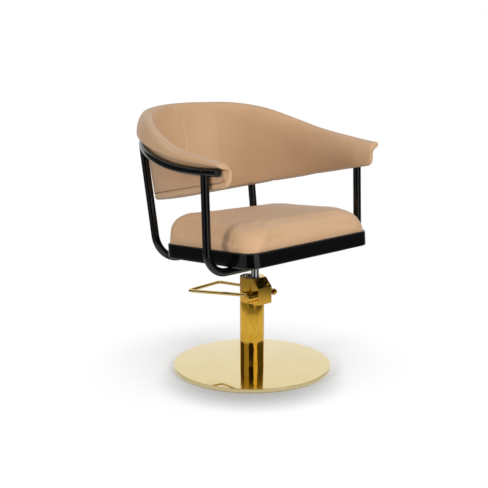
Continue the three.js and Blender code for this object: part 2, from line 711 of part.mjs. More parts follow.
/** Rings from the board up past the tray's edge, then round the top edge and in over the crown. */
function seatCushion() {
  const inset = TRAY_WALL + GAP;
  const side = inset - CUSHION_BULGE;
  const shoulder = CUSHION_TOP - CUSHION_ROUND;
  const edge = side + CUSHION_ROUND;
  const reach = TRAY_DEPTH / 2 - edge;
  const rings = [
    trayOutline(inset, cushionBottom),
    trayOutline(inset, TRAY_HEIGHT),
    cushionRing(side, (TRAY_HEIGHT + shoulder) / 2),
  ];
  CUSHION_EDGE_SHARES.forEach((share) => {
    const angle = (share * Math.PI) / 2;
    rings.push(cushionRing(side + CUSHION_ROUND * (1 - Math.cos(angle)), shoulder + CUSHION_ROUND * Math.sin(angle)));
  });
  CUSHION_CROWN_SHARES.forEach((share) => rings.push(cushionRing(edge + reach * share, CUSHION_TOP)));
  return loft(rings);
}

/** A ring of the cushion above the tray: its corners soften and it rises to the back and to the middle. */
function cushionRing(inset, z) {
  const share = (z - TRAY_HEIGHT) / (CUSHION_TOP - TRAY_HEIGHT);
  const corner = (size) => TRAY_CORNER + (size - TRAY_CORNER) * share + (inset * share) / 2;
  const points = trayOutline(inset, z, corner(CUSHION_BACK_CORNER), corner(CUSHION_FRONT_CORNER));
  points.forEach((point) => {
    const across = (2 * point.x) / TRAY_WIDTH;
    const along = (2 * (point.y - TRAY_CENTRE_Y)) / TRAY_DEPTH;
    const backward = (CUSHION_BACK_RISE * (1 + along)) / 2;
    point.z += share ** 2 * (backward + CUSHION_CROWN * (1 - across ** 2) * (1 - along ** CROWN_POWER / 2));
  });
  return points;
}

// Tube frame

/** The front hoop's y at height z: its plane leans a little. */
function frontY(z) {
  return FRONT_Y + FRONT_LEAN_SHARE * z;
}

/** A hoop from its right top corner, given by the two corners of one side, to the mirrored one. */
function hoopPath(top, foot, bend) {
  const mirror = new THREE.Vector3(-1, 1, 1);
  const otherFoot = foot.clone().multiply(mirror);
  const otherTop = top.clone().multiply(mirror);
  return bentPath([top, foot, otherFoot, otherTop], bend);
}

function frontHoopPath() {
  const top = RAIL_LOW_Z - COPE_LOW;
  return hoopPath(
    new THREE.Vector3(railHalfWidth, frontY(top), top),
    new THREE.Vector3(railHalfWidth, frontY(runZ), runZ),
    FRONT_BEND,
  );
}

function rearHoopPath() {
  const top = railPointAt(180 - REAR_RAIL_DEG);
  return hoopPath(
    new THREE.Vector3(top.x, top.y, top.z - COPE_LOW),
    new THREE.Vector3(top.x - REAR_SPLAY, REAR_Y, rearRunZ),
    REAR_BEND,
  );
}

const tubeBore = TUBE_RADIUS - TUBE_WALL;
const boreFlat = tubeBore * Math.cos(Math.PI / BORE_SIDES);

/** The round envelope of a frame tube with the shared clearance, to cope what meets it. */
function envelope(path) {
  return tubeAlong(path, TUBE_RADIUS + GAP);
}

function frontHoop() {
  const hoop = tubeAlong(frontHoopPath(), TUBE_RADIUS, tubeBore);
  const holes = trayScrewPlaces().map(([x, y]) => (
    hole(TRAY_SCREW_RADIUS, runZ, runZ + TUBE_RADIUS).translate(x, y, 0)
  ));
  const access = trayScrewPlaces().map(([x, y]) => (
    cylinder(TRAY_SCREW_HEAD + GAP, runZ - TUBE_RADIUS - OVERRUN, runZ).translate(x, y, 0)
  ));
  return cut(hoop, envelope(railPath()), ...holes, ...access);
}

function rearHoop() {
  return cut(tubeAlong(rearHoopPath(), TUBE_RADIUS, tubeBore), envelope(railPath()));
}

function seatBars() {
  const [halfWidth, wall] = [BAR_WIDTH / 2, BAR_WALL];
  const [front, back] = [frontY(runZ), REAR_Y];
  return [-BAR_X, BAR_X].map((x) => {
    const solid = box([x - halfWidth, front, barBottom], [x + halfWidth, back, barTop]);
    const hollow = box([x - halfWidth + wall, front, barBottom + wall], [x + halfWidth - wall, back, barTop - wall]);
    const holes = [HUB_BOLT_Y, -HUB_BOLT_Y].map((y) => (
      hole(HUB_BOLT_RADIUS, barBottom, barTop).translate(x, y, 0)
    ));
    return cut(solid, hollow, envelope(frontHoopPath()), envelope(rearHoopPath()), ...holes);
  });
}

function hubPlate() {
  const [halfX, halfY] = [PLATE_WIDTH / 2, PLATE_DEPTH / 2];
  const plate = box([-halfX, -halfY, plateBottom], [halfX, halfY, plateTop]);
  return cut(plate, ...hubBoltPlaces().map(([x, y]) => (
    hole(HUB_BOLT_RADIUS, plateBottom, plateTop).translate(x, y, 0)
  )));
}

function hubBolts() {
  return hubBoltPlaces().map(([x, y]) => (
    bolt(HUB_BOLT_RADIUS, HUB_BOLT_HEAD, HUB_BOLT_HEAD_THICK, barBottom - GAP, boardBottom + SCREW_BITE)
      .translate(x, y, 0)
  ));
}

function hoopSaddles() {
  const [halfX, halfY] = [SADDLE_LENGTH / 2, SADDLE_WIDTH / 2];
  return trayScrewPlaces().map(([x, y]) => {
    const pad = box([x - halfX, y - halfY, runZ], [x + halfX, y + halfY, -GAP]);
    const through = hole(TRAY_SCREW_RADIUS, runZ, 0).translate(x, y, 0);
    return cut(pad, envelope(frontHoopPath()), through);
  });
}

function trayScrews() {
  const seat = runZ + Math.sqrt(boreFlat ** 2 - TRAY_SCREW_HEAD ** 2) - GAP;
  return trayScrewPlaces().map(([x, y]) => (
    bolt(TRAY_SCREW_RADIUS, TRAY_SCREW_HEAD, TRAY_SCREW_HEAD_THICK, seat, boardBottom + SCREW_BITE)
      .translate(x, y, 0)
  ));
}

// Rail and shell stations

/** The rail's plan, from the left arm's front end (0) round the back (0.5) to the right arm's front end (1). */
const railPlan = planOf(RAIL_FRONT_Y);

/** The same plan run on to the front of the shell's arms. */
const shellPlan = planOf(SHELL_FRONT_Y);

/** A plan line of straight arms and half an ellipse, with its length measured along it. */
function planOf(armFront) {
  const samples = [{ x: -railHalfWidth, y: armFront, deg: 0 }];
  for (let k = 0; k <= PLAN_STEPS; k += 1) {
    const angle = (Math.PI * k) / PLAN_STEPS;
    const x = -railHalfWidth * Math.cos(angle);
    const y = RAIL_WIDEST_Y + (RAIL_BACK - RAIL_WIDEST_Y) * Math.sin(angle);
    samples.push({ x, y, deg: THREE.MathUtils.radToDeg(angle) });
  }
  samples.push({ x: railHalfWidth, y: armFront, deg: 180 });
  let length = 0;
  samples.forEach((sample, k) => {
    if (k > 0) length += Math.hypot(sample.x - samples[k - 1].x, sample.y - samples[k - 1].y);
    sample.length = length;
  });
  return { samples, length };
}

/** The point of a plan at a distance along it, with its outward direction and its angle round the back. */
function planPoint(plan, distance) {
  const { samples } = plan;
  let k = samples.findIndex((sample) => sample.length >= distance);
  k = Math.max(k, 1);
  const [a, b] = [samples[k - 1], samples[k]];
  const share = (distance - a.length) / (b.length - a.length);
  const mix = (key) => a[key] + (b[key] - a[key]) * share;
  const deg = mix('deg');
  const angle = THREE.MathUtils.degToRad(deg);
  const depth = RAIL_BACK - RAIL_WIDEST_Y;
  const out = new THREE.Vector3(-Math.cos(angle) / railHalfWidth, Math.sin(angle) / depth, 0).normalize();
  return { x: mix('x'), y: mix('y'), deg, angle, out, distance };
}

/** Arc length from RAIL_LOW_Y round to the middle of the back. */
const riseLength = railPlan.length / 2 - (RAIL_LOW_Y - RAIL_FRONT_Y);

/** The rail's height at a distance from the middle of the back, measured along its plan. */
function railHeight(fromBack) {
  const share = THREE.MathUtils.clamp(1 - fromBack / riseLength, 0, 1);
  return RAIL_LOW_Z + (RAIL_RISE * (1 - Math.cos(Math.PI * share))) / 2;
}

/** The rail's point at an angle round its curved stretch, 0 at the left arm and 180 at the right. */
function railPointAt(deg) {
  const { samples } = railPlan;
  const k = samples.findIndex((sample) => sample.deg > deg);
  const [a, b] = [samples[k - 1], samples[k]];
  const share = (deg - a.deg) / (b.deg - a.deg);
  const point = planPoint(railPlan, a.length + (b.length - a.length) * share);
  return { ...point, z: railHeight(Math.abs(point.distance - railPlan.length / 2)) };
}

function railPath() {
  const knots = Array.from({ length: RAIL_STEPS + 1 }, (_, k) => {
    const point = planPoint(railPlan, (railPlan.length * k) / RAIL_STEPS);
    const fromBack = Math.abs(point.distance - railPlan.length / 2);
    return new THREE.Vector3(point.x, point.y, railHeight(fromBack));
  });
  return new KnotPath(knots);
}

function backRail() {
  return cut(tubeAlong(railPath(), TUBE_RADIUS, tubeBore), ...shellScrewShapes(SHELL_SCREW_RADIUS + GAP));
}

function railPlugs() {
  const radius = boreFlat - GAP;
  return [-railHalfWidth, railHalfWidth].map((x) => (
    cylinder(radius, 0, PLUG_DEPTH).rotateX(-Math.PI / 2).translate(x, RAIL_FRONT_Y, RAIL_LOW_Z)
  ));
}

/** Everything that the shell's section needs at a distance along its plan. */
function shellStation(distance) {
  const point = planPoint(shellPlan, distance);
  const half = shellPlan.length / 2;
  const fromBack = Math.abs(distance - half);
  const fromEnd = half - fromBack;
  const backness = Math.sin(point.angle) ** BACK_POWER;
  const mix = (front, back) => front + (back - front) * backness;
  const hemShare = (point.y - SHELL_FRONT_Y) / (RAIL_BACK - SHELL_FRONT_Y);
  const corner = THREE.MathUtils.clamp(END_CORNER - fromEnd, 0, END_CORNER);
  const cornerRise = END_CORNER - Math.sqrt(END_CORNER ** 2 - corner ** 2);
  const liftShare = Math.sin(Math.PI * Math.min(fromEnd / half, 1) ** LIFT_POWER);
  return {
    ...point,
    fromEnd,
    railZ: railHeight(fromBack),
    crestZ: CREST_FRONT_Z + (CREST_BACK_Z - CREST_FRONT_Z) * crestShare(fromEnd / half),
    crestIn: mix(CREST_IN_FRONT, CREST_IN_BACK),
    lipOut: mix(LIP_OUT_FRONT, LIP_OUT_BACK),
    hemZ: HEM_FRONT_Z + (HEM_BACK_Z - HEM_FRONT_Z) * hemShare + cornerRise,
    hemIn: mix(HEM_IN_FRONT, HEM_IN_BACK),
    stem: mix(STEM_FRONT, STEM_BACK) - END_THIN * (1 - THREE.MathUtils.smoothstep(fromEnd, 0, END_THIN_LENGTH)),
    lift: LIP_LIFT * liftShare,
  };
}

/** The crest's rise at a share of the way from an arm's end to the middle of the back. */
function crestShare(share) {
  const last = CREST_RISE_SHARES.length - 1;
  const points = CREST_RISE_SHARES.map((rise, k) => new THREE.Vector3(k / last, rise, 0));
  const place = THREE.MathUtils.clamp(share, 0, 1) * last;
  const k = Math.min(Math.floor(place), last - 1);
  const slope = (j) => {
    const [low, high] = [Math.max(j - 1, 0), Math.min(j + 1, last)];
    return j === last ? 0 : (points[high].y - points[low].y) / (high - low);
  };
  const t = place - k;
  const [h00, h10] = [(1 + 2 * t) * (1 - t) ** 2, t * (1 - t) ** 2];
  const [h01, h11] = [t ** 2 * (3 - 2 * t), t ** 2 * (t - 1)];
  return h00 * points[k].y + h10 * slope(k) + h01 * points[k + 1].y + h11 * slope(k + 1);
}

/** A point of a station's section: `n` outward from the rail's axis and a height. */
function sectionPoint(station, n, z) {
  return new THREE.Vector3(station.x + station.out.x * n, station.y + station.out.y * n, z);
}

const stemFace = -TUBE_RADIUS - SHELL_CLEAR;
const recessDepth = PANEL_THICK + GAP + CORE_THICK + GAP;

/** How far the outer face lies from the rail's axis at height z: it leans in towards the hem. */
function outerFace(station, z) {
  const share = THREE.MathUtils.clamp((station.railZ - z) / (station.railZ - station.hemZ), 0, 1);
  return stemFace - station.hemIn * share;
}

/** The pad's section at a station, as [n, z] pairs from the hem up the outside and down the inside. */
function padSection(station, recessed) {
  const { railZ, crestZ, crestIn, lipOut, hemZ, hemIn, stem, lift } = station;
  const depth = recessed ? recessDepth : GAP;
  const hemFace = stemFace - hemIn;
  const stitchZ = hemZ + STITCH_INSET;
  const headZ = railZ + PANEL_HEAD;
  const under = TUBE_RADIUS + SHELL_CLEAR;
  const lipZ = railZ + under + LIP_ROUND + lift;
  const [edgeIn, edgeUp] = LIP_EDGE_SHARES;
  const [topIn, topDown] = CREST_TOP_SHARES;
  const points = [
    [hemFace - stem + HEM_ROUND, hemZ + HEM_TUCK],
    [hemFace - HEM_ROUND, hemZ],
    [hemFace - HEM_ROUND * ROUND_CUT_SHARE, hemZ + HEM_ROUND * ROUND_CUT_SHARE],
    [outerFace(station, stitchZ), stitchZ],
    [outerFace(station, stitchZ) - depth, stitchZ + GAP],
    [outerFace(station, headZ) - depth, headZ],
    [stemFace, headZ + GAP],
    [-under * COVE_SHARE, railZ + under * COVE_SHARE],
    [0, railZ + under + lift],
    [under * COVE_SHARE, railZ + under + lift + LIP_ROUND * LIP_FALL_SHARE],
    [lipOut - LIP_ROUND * edgeIn, railZ + under + lift + LIP_ROUND * edgeUp],
  ];
  ROLL_SHARES.forEach((share) => {
    const angle = (share * Math.PI) / 2;
    const [outward, upward] = [Math.cos(angle), Math.sin(angle)].map((part) => Math.abs(part) ** ROLL_FLATTEN_SHARE);
    points.push([-crestIn + (lipOut + crestIn) * outward, lipZ + (crestZ - lipZ) * upward]);
  });
  points.push([-crestIn - CREST_ROUND * topIn, crestZ - CREST_ROUND * topDown]);
  const [topN, topZ] = [-crestIn - CREST_ROUND, crestZ - CREST_ROUND * CREST_INNER_SHARE];
  const [bottomN, bottomZ] = [hemFace - stem, hemZ + HEM_TUCK + HEM_ROUND];
  INSIDE_SHARES.forEach((share) => {
    const inward = 1 - (1 - share) ** 2;
    points.push([topN + (bottomN - topN) * inward, topZ + (bottomZ - topZ) * share]);
  });
  points.push([bottomN + HEM_ROUND * ROUND_CUT_SHARE, hemZ + HEM_TUCK + HEM_ROUND * ROUND_CUT_SHARE]);
  return points;
}

/** The pad's ring at a station, drawn in towards the section's middle line by `keep` near an arm's end. */
function padRing(station, keep, recessed) {
  const middle = stemFace - station.hemIn / 2 - station.stem / 2;
  return padSection(station, recessed).map(([n, z]) => {
    const lowest = station.hemZ + station.stem / 2;
    const highest = station.crestZ - CREST_ROUND;
    const anchorZ = THREE.MathUtils.clamp(z, lowest, highest);
    const share = THREE.MathUtils.smoothstep(anchorZ, station.railZ, highest);
    const anchorN = THREE.MathUtils.lerp(middle, -station.crestIn - CREST_ROUND * CREST_ANCHOR_SHARE, share);
    return sectionPoint(station, anchorN + (n - anchorN) * keep, anchorZ + (z - anchorZ) * keep);
  });
}

/** Distances along the shell's plan: the given ones near an end, mirrored at the other, and the rail's between. */
function shellDistances(ends) {
  const { length } = shellPlan;
  const step = railPlan.length / RAIL_STEPS;
  const last = ends[ends.length - 1] + step / 2;
  const even = Array.from({ length: RAIL_STEPS + 1 }, (_, k) => length / 2 + step * (k - RAIL_STEPS / 2))
    .filter((distance) => distance > last && distance < length - last);
  return [...ends, ...even, ...ends.map((distance) => length - distance).reverse()];
}

function shellPad() {
  const rounding = END_ROUND_SHARES.map((share) => share * END_ROUND);
  const distances = shellDistances([...rounding, PANEL_SETBACK - 2 * GAP, PANEL_SETBACK, END_CORNER]);
  return loft(distances.map((distance) => {
    const station = shellStation(distance);
    const near = Math.min(station.fromEnd / END_ROUND, 1);
    const keep = END_TIP_SHARE + (1 - END_TIP_SHARE) * Math.sqrt(1 - (1 - near) ** 2);
    return padRing(station, keep, station.fromEnd > PANEL_SETBACK - GAP);
  }));
}

/** A layer of the shell's recess, between two depths behind the outer face. */
function recessLayer(near, far) {
  const rings = shellDistances([PANEL_SETBACK + GAP, END_CORNER]).map((distance) => {
    const station = shellStation(distance);
    const [bottom, top] = [station.hemZ + STITCH_INSET + 2 * GAP, station.railZ + PANEL_HEAD - GAP];
    const face = (z) => outerFace(station, z);
    return [
      sectionPoint(station, face(bottom) - near, bottom),
      sectionPoint(station, face(top) - near, top),
      sectionPoint(station, face(top) - far, top),
      sectionPoint(station, face(bottom) - far, bottom),
    ];
  });
  return loft(rings);
}

function shellPanel() {
  return cut(recessLayer(0, PANEL_THICK), ...shellScrewShapes(SHELL_SCREW_RADIUS + GAP));
}

/** The core is skinned from its far side, so that its facets match those of the panel and the pad. */
function shellCore() {
  const layer = recessLayer(PANEL_THICK + GAP + CORE_THICK, PANEL_THICK + GAP);
  return cut(layer, ...shellScrewShapes(SHELL_SCREW_RADIUS + GAP, GAP));
}

/** Bars along the shell screws' shanks, from the rail's bore into the core. */
function shellScrewShapes(radius, extra = 0) {
  return SHELL_SCREW_DEGS.map((deg) => {
    const reach = screwTip + extra;
    return screwPlace(deg, cylinder(radius, -reach, 0, BORE_SIDES));
  });
}

const screwTip = TUBE_RADIUS + SHELL_CLEAR + PANEL_THICK + GAP + SHELL_SCREW_BITE;
const screwSeat = Math.sqrt(boreFlat ** 2 - SHELL_SCREW_HEAD ** 2) - GAP;

/** A geometry drawn along Z, with z = 0 on the rail's axis, turned to point outward at an angle round the rail. */
function screwPlace(deg, geometry) {
  const point = railPointAt(deg);
  const turn = new THREE.Quaternion().setFromUnitVectors(new THREE.Vector3(0, 0, 1), point.out);
  return geometry.applyQuaternion(turn).translate(point.x, point.y, point.z);
}

function shellScrews() {
  const profile = [[0, -screwTip], [SHELL_SCREW_RADIUS, -screwTip], [SHELL_SCREW_RADIUS, -screwSeat]];
  const head = [[SHELL_SCREW_HEAD, -screwSeat], [SHELL_SCREW_HEAD, -screwSeat + SHELL_SCREW_HEAD_THICK]];
  const end = [0, -screwSeat + SHELL_SCREW_HEAD_THICK];
  return SHELL_SCREW_DEGS.map((deg) => screwPlace(deg, turned([...profile, ...head, end], BORE_SIDES)));
}

// Assembly

function group(parent, position = new THREE.Vector3()) {
  const made = new THREE.Group();
  made.position.copy(position);
  parent.add(made);
  return made;
}

function add(parent, name, material, geometry) {
  const mesh = new THREE.Mesh(geometry, material);
  mesh.name = name;
  parent.add(mesh);
}

/** Copies of one piece, named name_1, name_2 and so on. */
function addEach(parent, name, material, geometries) {
  geometries.forEach((geometry, k) => add(parent, `${name}_${k + 1}`, material, geometry));
}

const chair = new THREE.Group();

const base = group(chair);
add(base, 'base_disc', GOLD, baseDisc());
addEach(base, 'base_foot', RUBBER, baseFeet());
addEach(base, 'base_bolt', STEEL, baseBolts());
add(base, 'column_flange', STEEL, columnFlange());
add(base, 'column_tube', GOLD, columnTube());
add(base, 'column_cap', GOLD, columnCap());
add(base, 'pump_head', GOLD, pumpHead());
add(base, 'pump_plunger', STEEL, pumpPlunger());

const lift = group(chair, new THREE.Vector3(0, ROD_Y, 0));
add(lift, 'pump_cylinder', STEEL, pumpCylinder());
add(lift, 'rod_gland', RUBBER, rodGland());
add(lift, 'rod_piston', STEEL, rodPiston());
add(lift, 'piston_rod', CHROME, pistonRod());
add(lift, 'thrust_washer', BRONZE, thrustWasher());
add(lift, 'swivel_bush', BRONZE, swivelBush());
add(lift, 'seat_hub', STEEL, seatHub());

const pedal = group(chair, new THREE.Vector3(0, AXLE_Y, AXLE_Z));
add(pedal, 'pedal_axle', STEEL, pedalAxle());
add(pedal, 'pump_cam', STEEL, pumpCam());
add(pedal, 'pedal_collar', GOLD, pedalCollar());
add(pedal, 'collar_screw', STEEL, collarScrew());
add(pedal, 'pedal_knob', GOLD, pedalKnob());
add(pedal, 'pedal_loop', GOLD, pedalLoop());

const seat = group(chair, new THREE.Vector3(0, ROD_Y, seatZ));
seat.rotation.x = -THREE.MathUtils.degToRad(SEAT_TILT_DEG);
add(seat, 'hub_plate', STEEL, hubPlate());
addEach(seat, 'hub_bolt', STEEL, hubBolts());
addEach(seat, 'seat_bar', BLACK, seatBars());
add(seat, 'front_hoop', BLACK, frontHoop());
add(seat, 'rear_hoop', BLACK, rearHoop());
addEach(seat, 'hoop_saddle', BLACK, hoopSaddles());
addEach(seat, 'tray_screw', STEEL, trayScrews());
add(seat, 'seat_tray', BLACK, seatTray());
add(seat, 'seat_board', PLYWOOD, seatBoard());
add(seat, 'seat_cushion', LEATHER, seatCushion());
add(seat, 'back_rail', BLACK, backRail());
addEach(seat, 'rail_plug', BLACK, railPlugs());
addEach(seat, 'shell_screw', STEEL, shellScrews());
add(seat, 'shell_core', PLYWOOD, shellCore());
add(seat, 'shell_panel', LEATHER, shellPanel());
add(seat, 'shell_pad', LEATHER, shellPad());

export default chair;
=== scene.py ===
"""A salon chair on a round gold pedestal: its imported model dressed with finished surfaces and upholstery.

Sizes are in millimetres, as on a drawing, until a mesh is made, and the mesh is in metres. Seat pieces are
drawn level, from the point where the piston rod's axis meets the tray's underside, and then leant back.
"""

import json

import bmesh
import bpy
import numpy as np
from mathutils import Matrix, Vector


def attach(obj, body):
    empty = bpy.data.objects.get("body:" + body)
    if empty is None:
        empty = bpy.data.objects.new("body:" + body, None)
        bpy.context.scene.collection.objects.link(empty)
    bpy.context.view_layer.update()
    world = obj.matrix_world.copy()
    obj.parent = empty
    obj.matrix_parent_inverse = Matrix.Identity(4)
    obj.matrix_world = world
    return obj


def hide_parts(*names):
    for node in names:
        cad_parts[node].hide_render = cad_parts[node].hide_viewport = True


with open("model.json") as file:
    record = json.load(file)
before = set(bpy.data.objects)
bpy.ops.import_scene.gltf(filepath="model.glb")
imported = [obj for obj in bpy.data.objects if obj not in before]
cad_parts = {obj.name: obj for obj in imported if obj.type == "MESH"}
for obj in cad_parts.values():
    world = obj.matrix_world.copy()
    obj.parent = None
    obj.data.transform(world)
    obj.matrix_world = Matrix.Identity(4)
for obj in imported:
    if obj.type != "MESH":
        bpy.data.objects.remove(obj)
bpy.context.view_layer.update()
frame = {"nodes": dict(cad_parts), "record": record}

MM = 0.001
WELD, CAD_WELD, STRAIGHT = 1e-6, 2e-5, 1e-6
TAU = 2 * np.pi
FLAT, SHARP = np.radians(1), np.radians(40)

# Base and column
DISC_RADIUS, DISC_BOTTOM, DISC_TOP, DISC_BEVEL = 260.0, 5.0, 16.0, 2.0
FOOT_RADIUS, FOOT_RING, FIRST_FOOT = 6.5, 246.0, np.radians(48)
COLUMN_RADIUS, COLUMN_BORE, COLUMN_JOINT, COLUMN_TOP = 40.0, 37.0, 230.0, 313.0
HEAD_HALF_WIDTH, HEAD_FRONT, HEAD_BORE, CHAMFER = 29.5, 62.0, 33.4, 27.0
CAP_BORE, CAP_RADIUS, CAP_BOTTOM, CAP_GROOVE = 15.6, 33.2, 309.0, 23.0
GAP = 0.3

# Rod and pedal
ROD_Y, ROD_RADIUS, ROD_BOTTOM, ROD_SHOULDER = -13.9, 12.7, 90.0, 352.0
STUD_RADIUS, STUD_BOTTOM, JOURNAL_RADIUS, JOURNAL_TOP = 7.0, 64.0, 10.0, 394.0
GLAND_RADIUS, GLAND_BOTTOM, GLAND_TOP = 15.2, 300.0, 314.5
AXLE_Y, AXLE_Z, AXLE_RADIUS = -46.0, 259.0, 5.0
AXLE_HOLE = AXLE_RADIUS + GAP
COLLAR_RADIUS, COLLAR_LENGTH, BOSS_RADIUS, BOSS_REACH = 16.0, 36.0, 5.5, 22.0
KNOB_RADIUS, KNOB_LENGTH, KNOB_STAND_OFF = 10.0, 17.0, 19.5
PEDAL_RADIUS, PEDAL_BEND, PEDAL_REACH = 5.8, 12.0, 295.0
NEAR_FLARE, FAR_FLARE, BAR_SKEW = 20.0, 17.0, 2.5
NEAR_DROP, FAR_DROP, NEAR_ROOT, FAR_ROOT = 33.0, 28.5, 6.0, 4.5

# Seat
SEAT_Z, SEAT_LEAN = 406.1, np.radians(4.727)
TRAY_WIDTH, TRAY_DEPTH, TRAY_Y, TRAY_CORNER = 528.0, 420.0, -61.0, 50.0
TRAY_HEIGHT, TRAY_WALL, TRAY_FLOOR, TRAY_ROUND = 47.0, 7.0, 3.0, 5.0
CUSHION_BOTTOM, CUSHION_TOP, CUSHION_ROUND, CUSHION_BULGE = 15.6, 112.0, 34.0, 3.0
CUSHION_VOXEL, CUSHION_AIR, CUSHION_SWELL, HELD_BELOW, HELD_FADE = 6.0, 4.0, 5.0, 2.0, 14.0
CUSHION_CROWN, BACK_RISE, SIDE_RISE, FRONT_CORNER, BACK_CORNER = 13.0, 7.0, 12.0, 95.0, 60.0
TUBE_RADIUS, COAT, RUN_Z, REAR_RUN_Z, FRONT_BEND, REAR_BEND = 12.5, 0.5, -17.6, -25.6, 72.0, 87.0
FRONT_Y, FRONT_LEAN = -148.4, -0.046
REAR_SPLAY, REAR_Y, REAR_RAIL = 11.5, 233.5, np.radians(180 - 45.8)
COPE_LOW = 3.0

# Rail and shell
RAIL_HALF_WIDTH, RAIL_BACK, WIDEST_Y = 327.0, 400.0, -95.0
RAIL_FRONT_Y, RAIL_LOW_Y, RAIL_LOW_Z, RAIL_RISE = -223.0, -170.0, 293.2, 87.0
SHELL_FRONT_Y, CREST_FRONT, CREST_BACK = -251.0, 322.0, 472.0
CREST_RISE = np.array([0, 0.137, 0.29, 0.53, 0.79, 0.94, 0.985, 1])
CREST_IN, HEM_Z, HEM_IN = (2.0, 38.0), (249.0, 153.0), (4.0, 34.0)
STEM, LIP_OUT, LIP_ROUND, LIP_LIFT = (26.0, 38.0), (16.0, 19.0), 12.0, 15.0
HEM_ROUND, HEM_TUCK, CREST_ROUND, SHELL_CLEAR = 7.0, 4.0, 17.0, 0.8
END_ROUND, END_CORNER, END_THIN, END_THIN_LENGTH, END_TIP = 13.0, 24.0, 9.0, 70.0, 0.3
STITCH_INSET, PANEL_SETBACK, PANEL_THICK, PANEL_HEAD = 16.0, 17.0, 3.0, 5.0
PANEL_FRONT, PANEL_CORNER, PANEL_SWELL, PANEL_EDGE = PANEL_SETBACK + GAP, 18.0, 0.9, 1.2
THREAD_INSET, GROOVE_WIDTH, GROOVE_DEPTH = 3.0, 1.6, 0.7
STITCH_PITCH, STITCH_LENGTH, STITCH_RADIUS = 7.5, 5.6, 1.05
STEM_FACE = -TUBE_RADIUS - SHELL_CLEAR
PAD_AIR, PAD_SWELL = 2.0, 2.0

# Air in padded pieces: the cloth's frames, and how hard it is to stretch and bend. A piece's own AIR is its
# pressure, and its SWELL the furthest that a point may move
AIR_FRAMES, AIR_STRETCH, AIR_BEND = 20, 25, 4


# Points and faces


def unit(vectors):
    """Each vector over its own length."""
    return vectors / np.linalg.norm(vectors, axis=-1, keepdims=True)


def grid_faces(rows, columns, wrap_rows=False, wrap_columns=False):
    """Quads between the neighbours of a grid numbered row by row, closed round where asked."""
    row = np.arange(rows if wrap_rows else rows - 1)[:, None]
    column = np.arange(columns if wrap_columns else columns - 1)[None]
    here, below = row * columns, ((row + 1) % rows) * columns
    beside = (column + 1) % columns
    return np.stack([here + column, here + beside, below + beside, below + column], -1).reshape(-1, 4)


def skin(rings):
    """Closed rings with as many points each, joined into one shape."""
    return rings.reshape(-1, 3), grid_faces(*rings.shape[:2], wrap_columns=True)


def closed_skin(rings):
    """Rings joined into one shape, with a last ring shrunk to its middle at each end."""
    ends = [ring.mean(0) + 0 * ring for ring in (rings[0], rings[-1])]
    return skin(np.stack([ends[0], *rings, ends[1]]))


def rounded(corners, radii, steps=6):
    """A chain of corners with each inner corner replaced by an arc that touches both its sides.

    The arc starts r tan(turn / 2) before the corner. From there it goes r sin a along and r (1 - cos a) in.
    """
    corners = np.asarray(corners, float)
    radii = np.broadcast_to(radii, len(corners))
    made = [corners[:1]]
    for before, corner, after, radius in zip(corners, corners[1:], corners[2:], radii[1:]):
        into, out = unit(corner - before), unit(after - corner)
        turn = np.arccos(np.clip(into @ out, -1, 1))
        if radius == 0 or turn < STRAIGHT:
            made.append(corner[None])
            continue
        start = corner - into * radius * np.tan(turn / 2)
        inward = unit(out - into * (into @ out))
        a = np.linspace(0, turn, steps + 1)[:, None]
        made.append(start + into * radius * np.sin(a) + inward * radius * (1 - np.cos(a)))
    return np.vstack([*made, corners[-1:]])


def turned(profile, sides):
    """A profile of (radius, height) points turned about Z: x = r cos a, y = r sin a."""
    a = np.linspace(0, TAU, sides, endpoint=False)
    r, z = np.asarray(profile, float).T[:, :, None]
    return skin(np.stack([r * np.cos(a), r * np.sin(a), z + 0 * a], -1))


def swept(path, radius, up, sides=32):
    """A round bar closed at both ends: a circle r (cos a side + sin a lift) across each point of the path.

    side is the cross product of the path's direction and `up`, and lift that of side and the direction. The
    radius may change along the path.
    """
    along = unit(np.diff(path, axis=0))
    along = unit(np.vstack([along[:1], along[:-1] + along[1:], along[-1:]]))
    side = unit(np.cross(along, up))
    lift = np.cross(side, along)
    a = np.linspace(0, TAU, sides, endpoint=False)[None, :, None]
    radius = np.broadcast_to(radius, len(path)).astype(float)[:, None, None]
    rings = path[:, None] + radius * (np.cos(a) * side[:, None] + np.sin(a) * lift[:, None])
    ends = [np.repeat(path[k][None, None], sides, 1) for k in (0, -1)]
    return skin(np.concatenate([ends[0], rings, ends[1]]))


def soft_ends(path, radius, edge, steps=5):
    """A path and its radii, with the last `edge` of each end shrinking along a quarter circle."""
    a = np.linspace(np.pi / 2, 0, steps + 1)[:-1]
    step_in, shrink = edge * (1 - np.sin(a)), edge * (1 - np.cos(a))
    first, last = unit(path[1] - path[0]), unit(path[-2] - path[-1])
    start = path[0] + step_in[:, None] * first
    end = path[-1] + step_in[::-1, None] * last
    inner = [path[0] + edge * first, *path[1:-1], path[-1] + edge * last]
    radii = np.r_[radius - shrink, np.full(len(inner), radius), radius - shrink[::-1]]
    return np.vstack([start, inner, end]), radii


def joined(*shapes):
    """Several (points, faces) shapes as one, with the later ones' numbers moved up."""
    starts = np.cumsum([0] + [len(points) for points, _ in shapes])
    faces = np.vstack([faces + start for (_, faces), start in zip(shapes, starts)])
    return np.vstack([points for points, _ in shapes]), faces


def lay_along_x(shape, offset):
    """A shape that stands along Z laid along X, (x, y, z) -> (z, y, -x), and moved by `offset`."""
    points, faces = shape
    return points[:, [2, 1, 0]] * (1, 1, -1) + offset, faces


def leaned(shape):
    """Seat points leant back about X and set on the rod: y' = y cos a + z sin a, z' = z cos a - y sin a."""
    points, faces = shape
    x, y, z = points.T
    c, s = np.cos(SEAT_LEAN), np.sin(SEAT_LEAN)
    return np.stack([x, y * c + z * s + ROD_Y, z * c - y * s + SEAT_Z], -1), faces


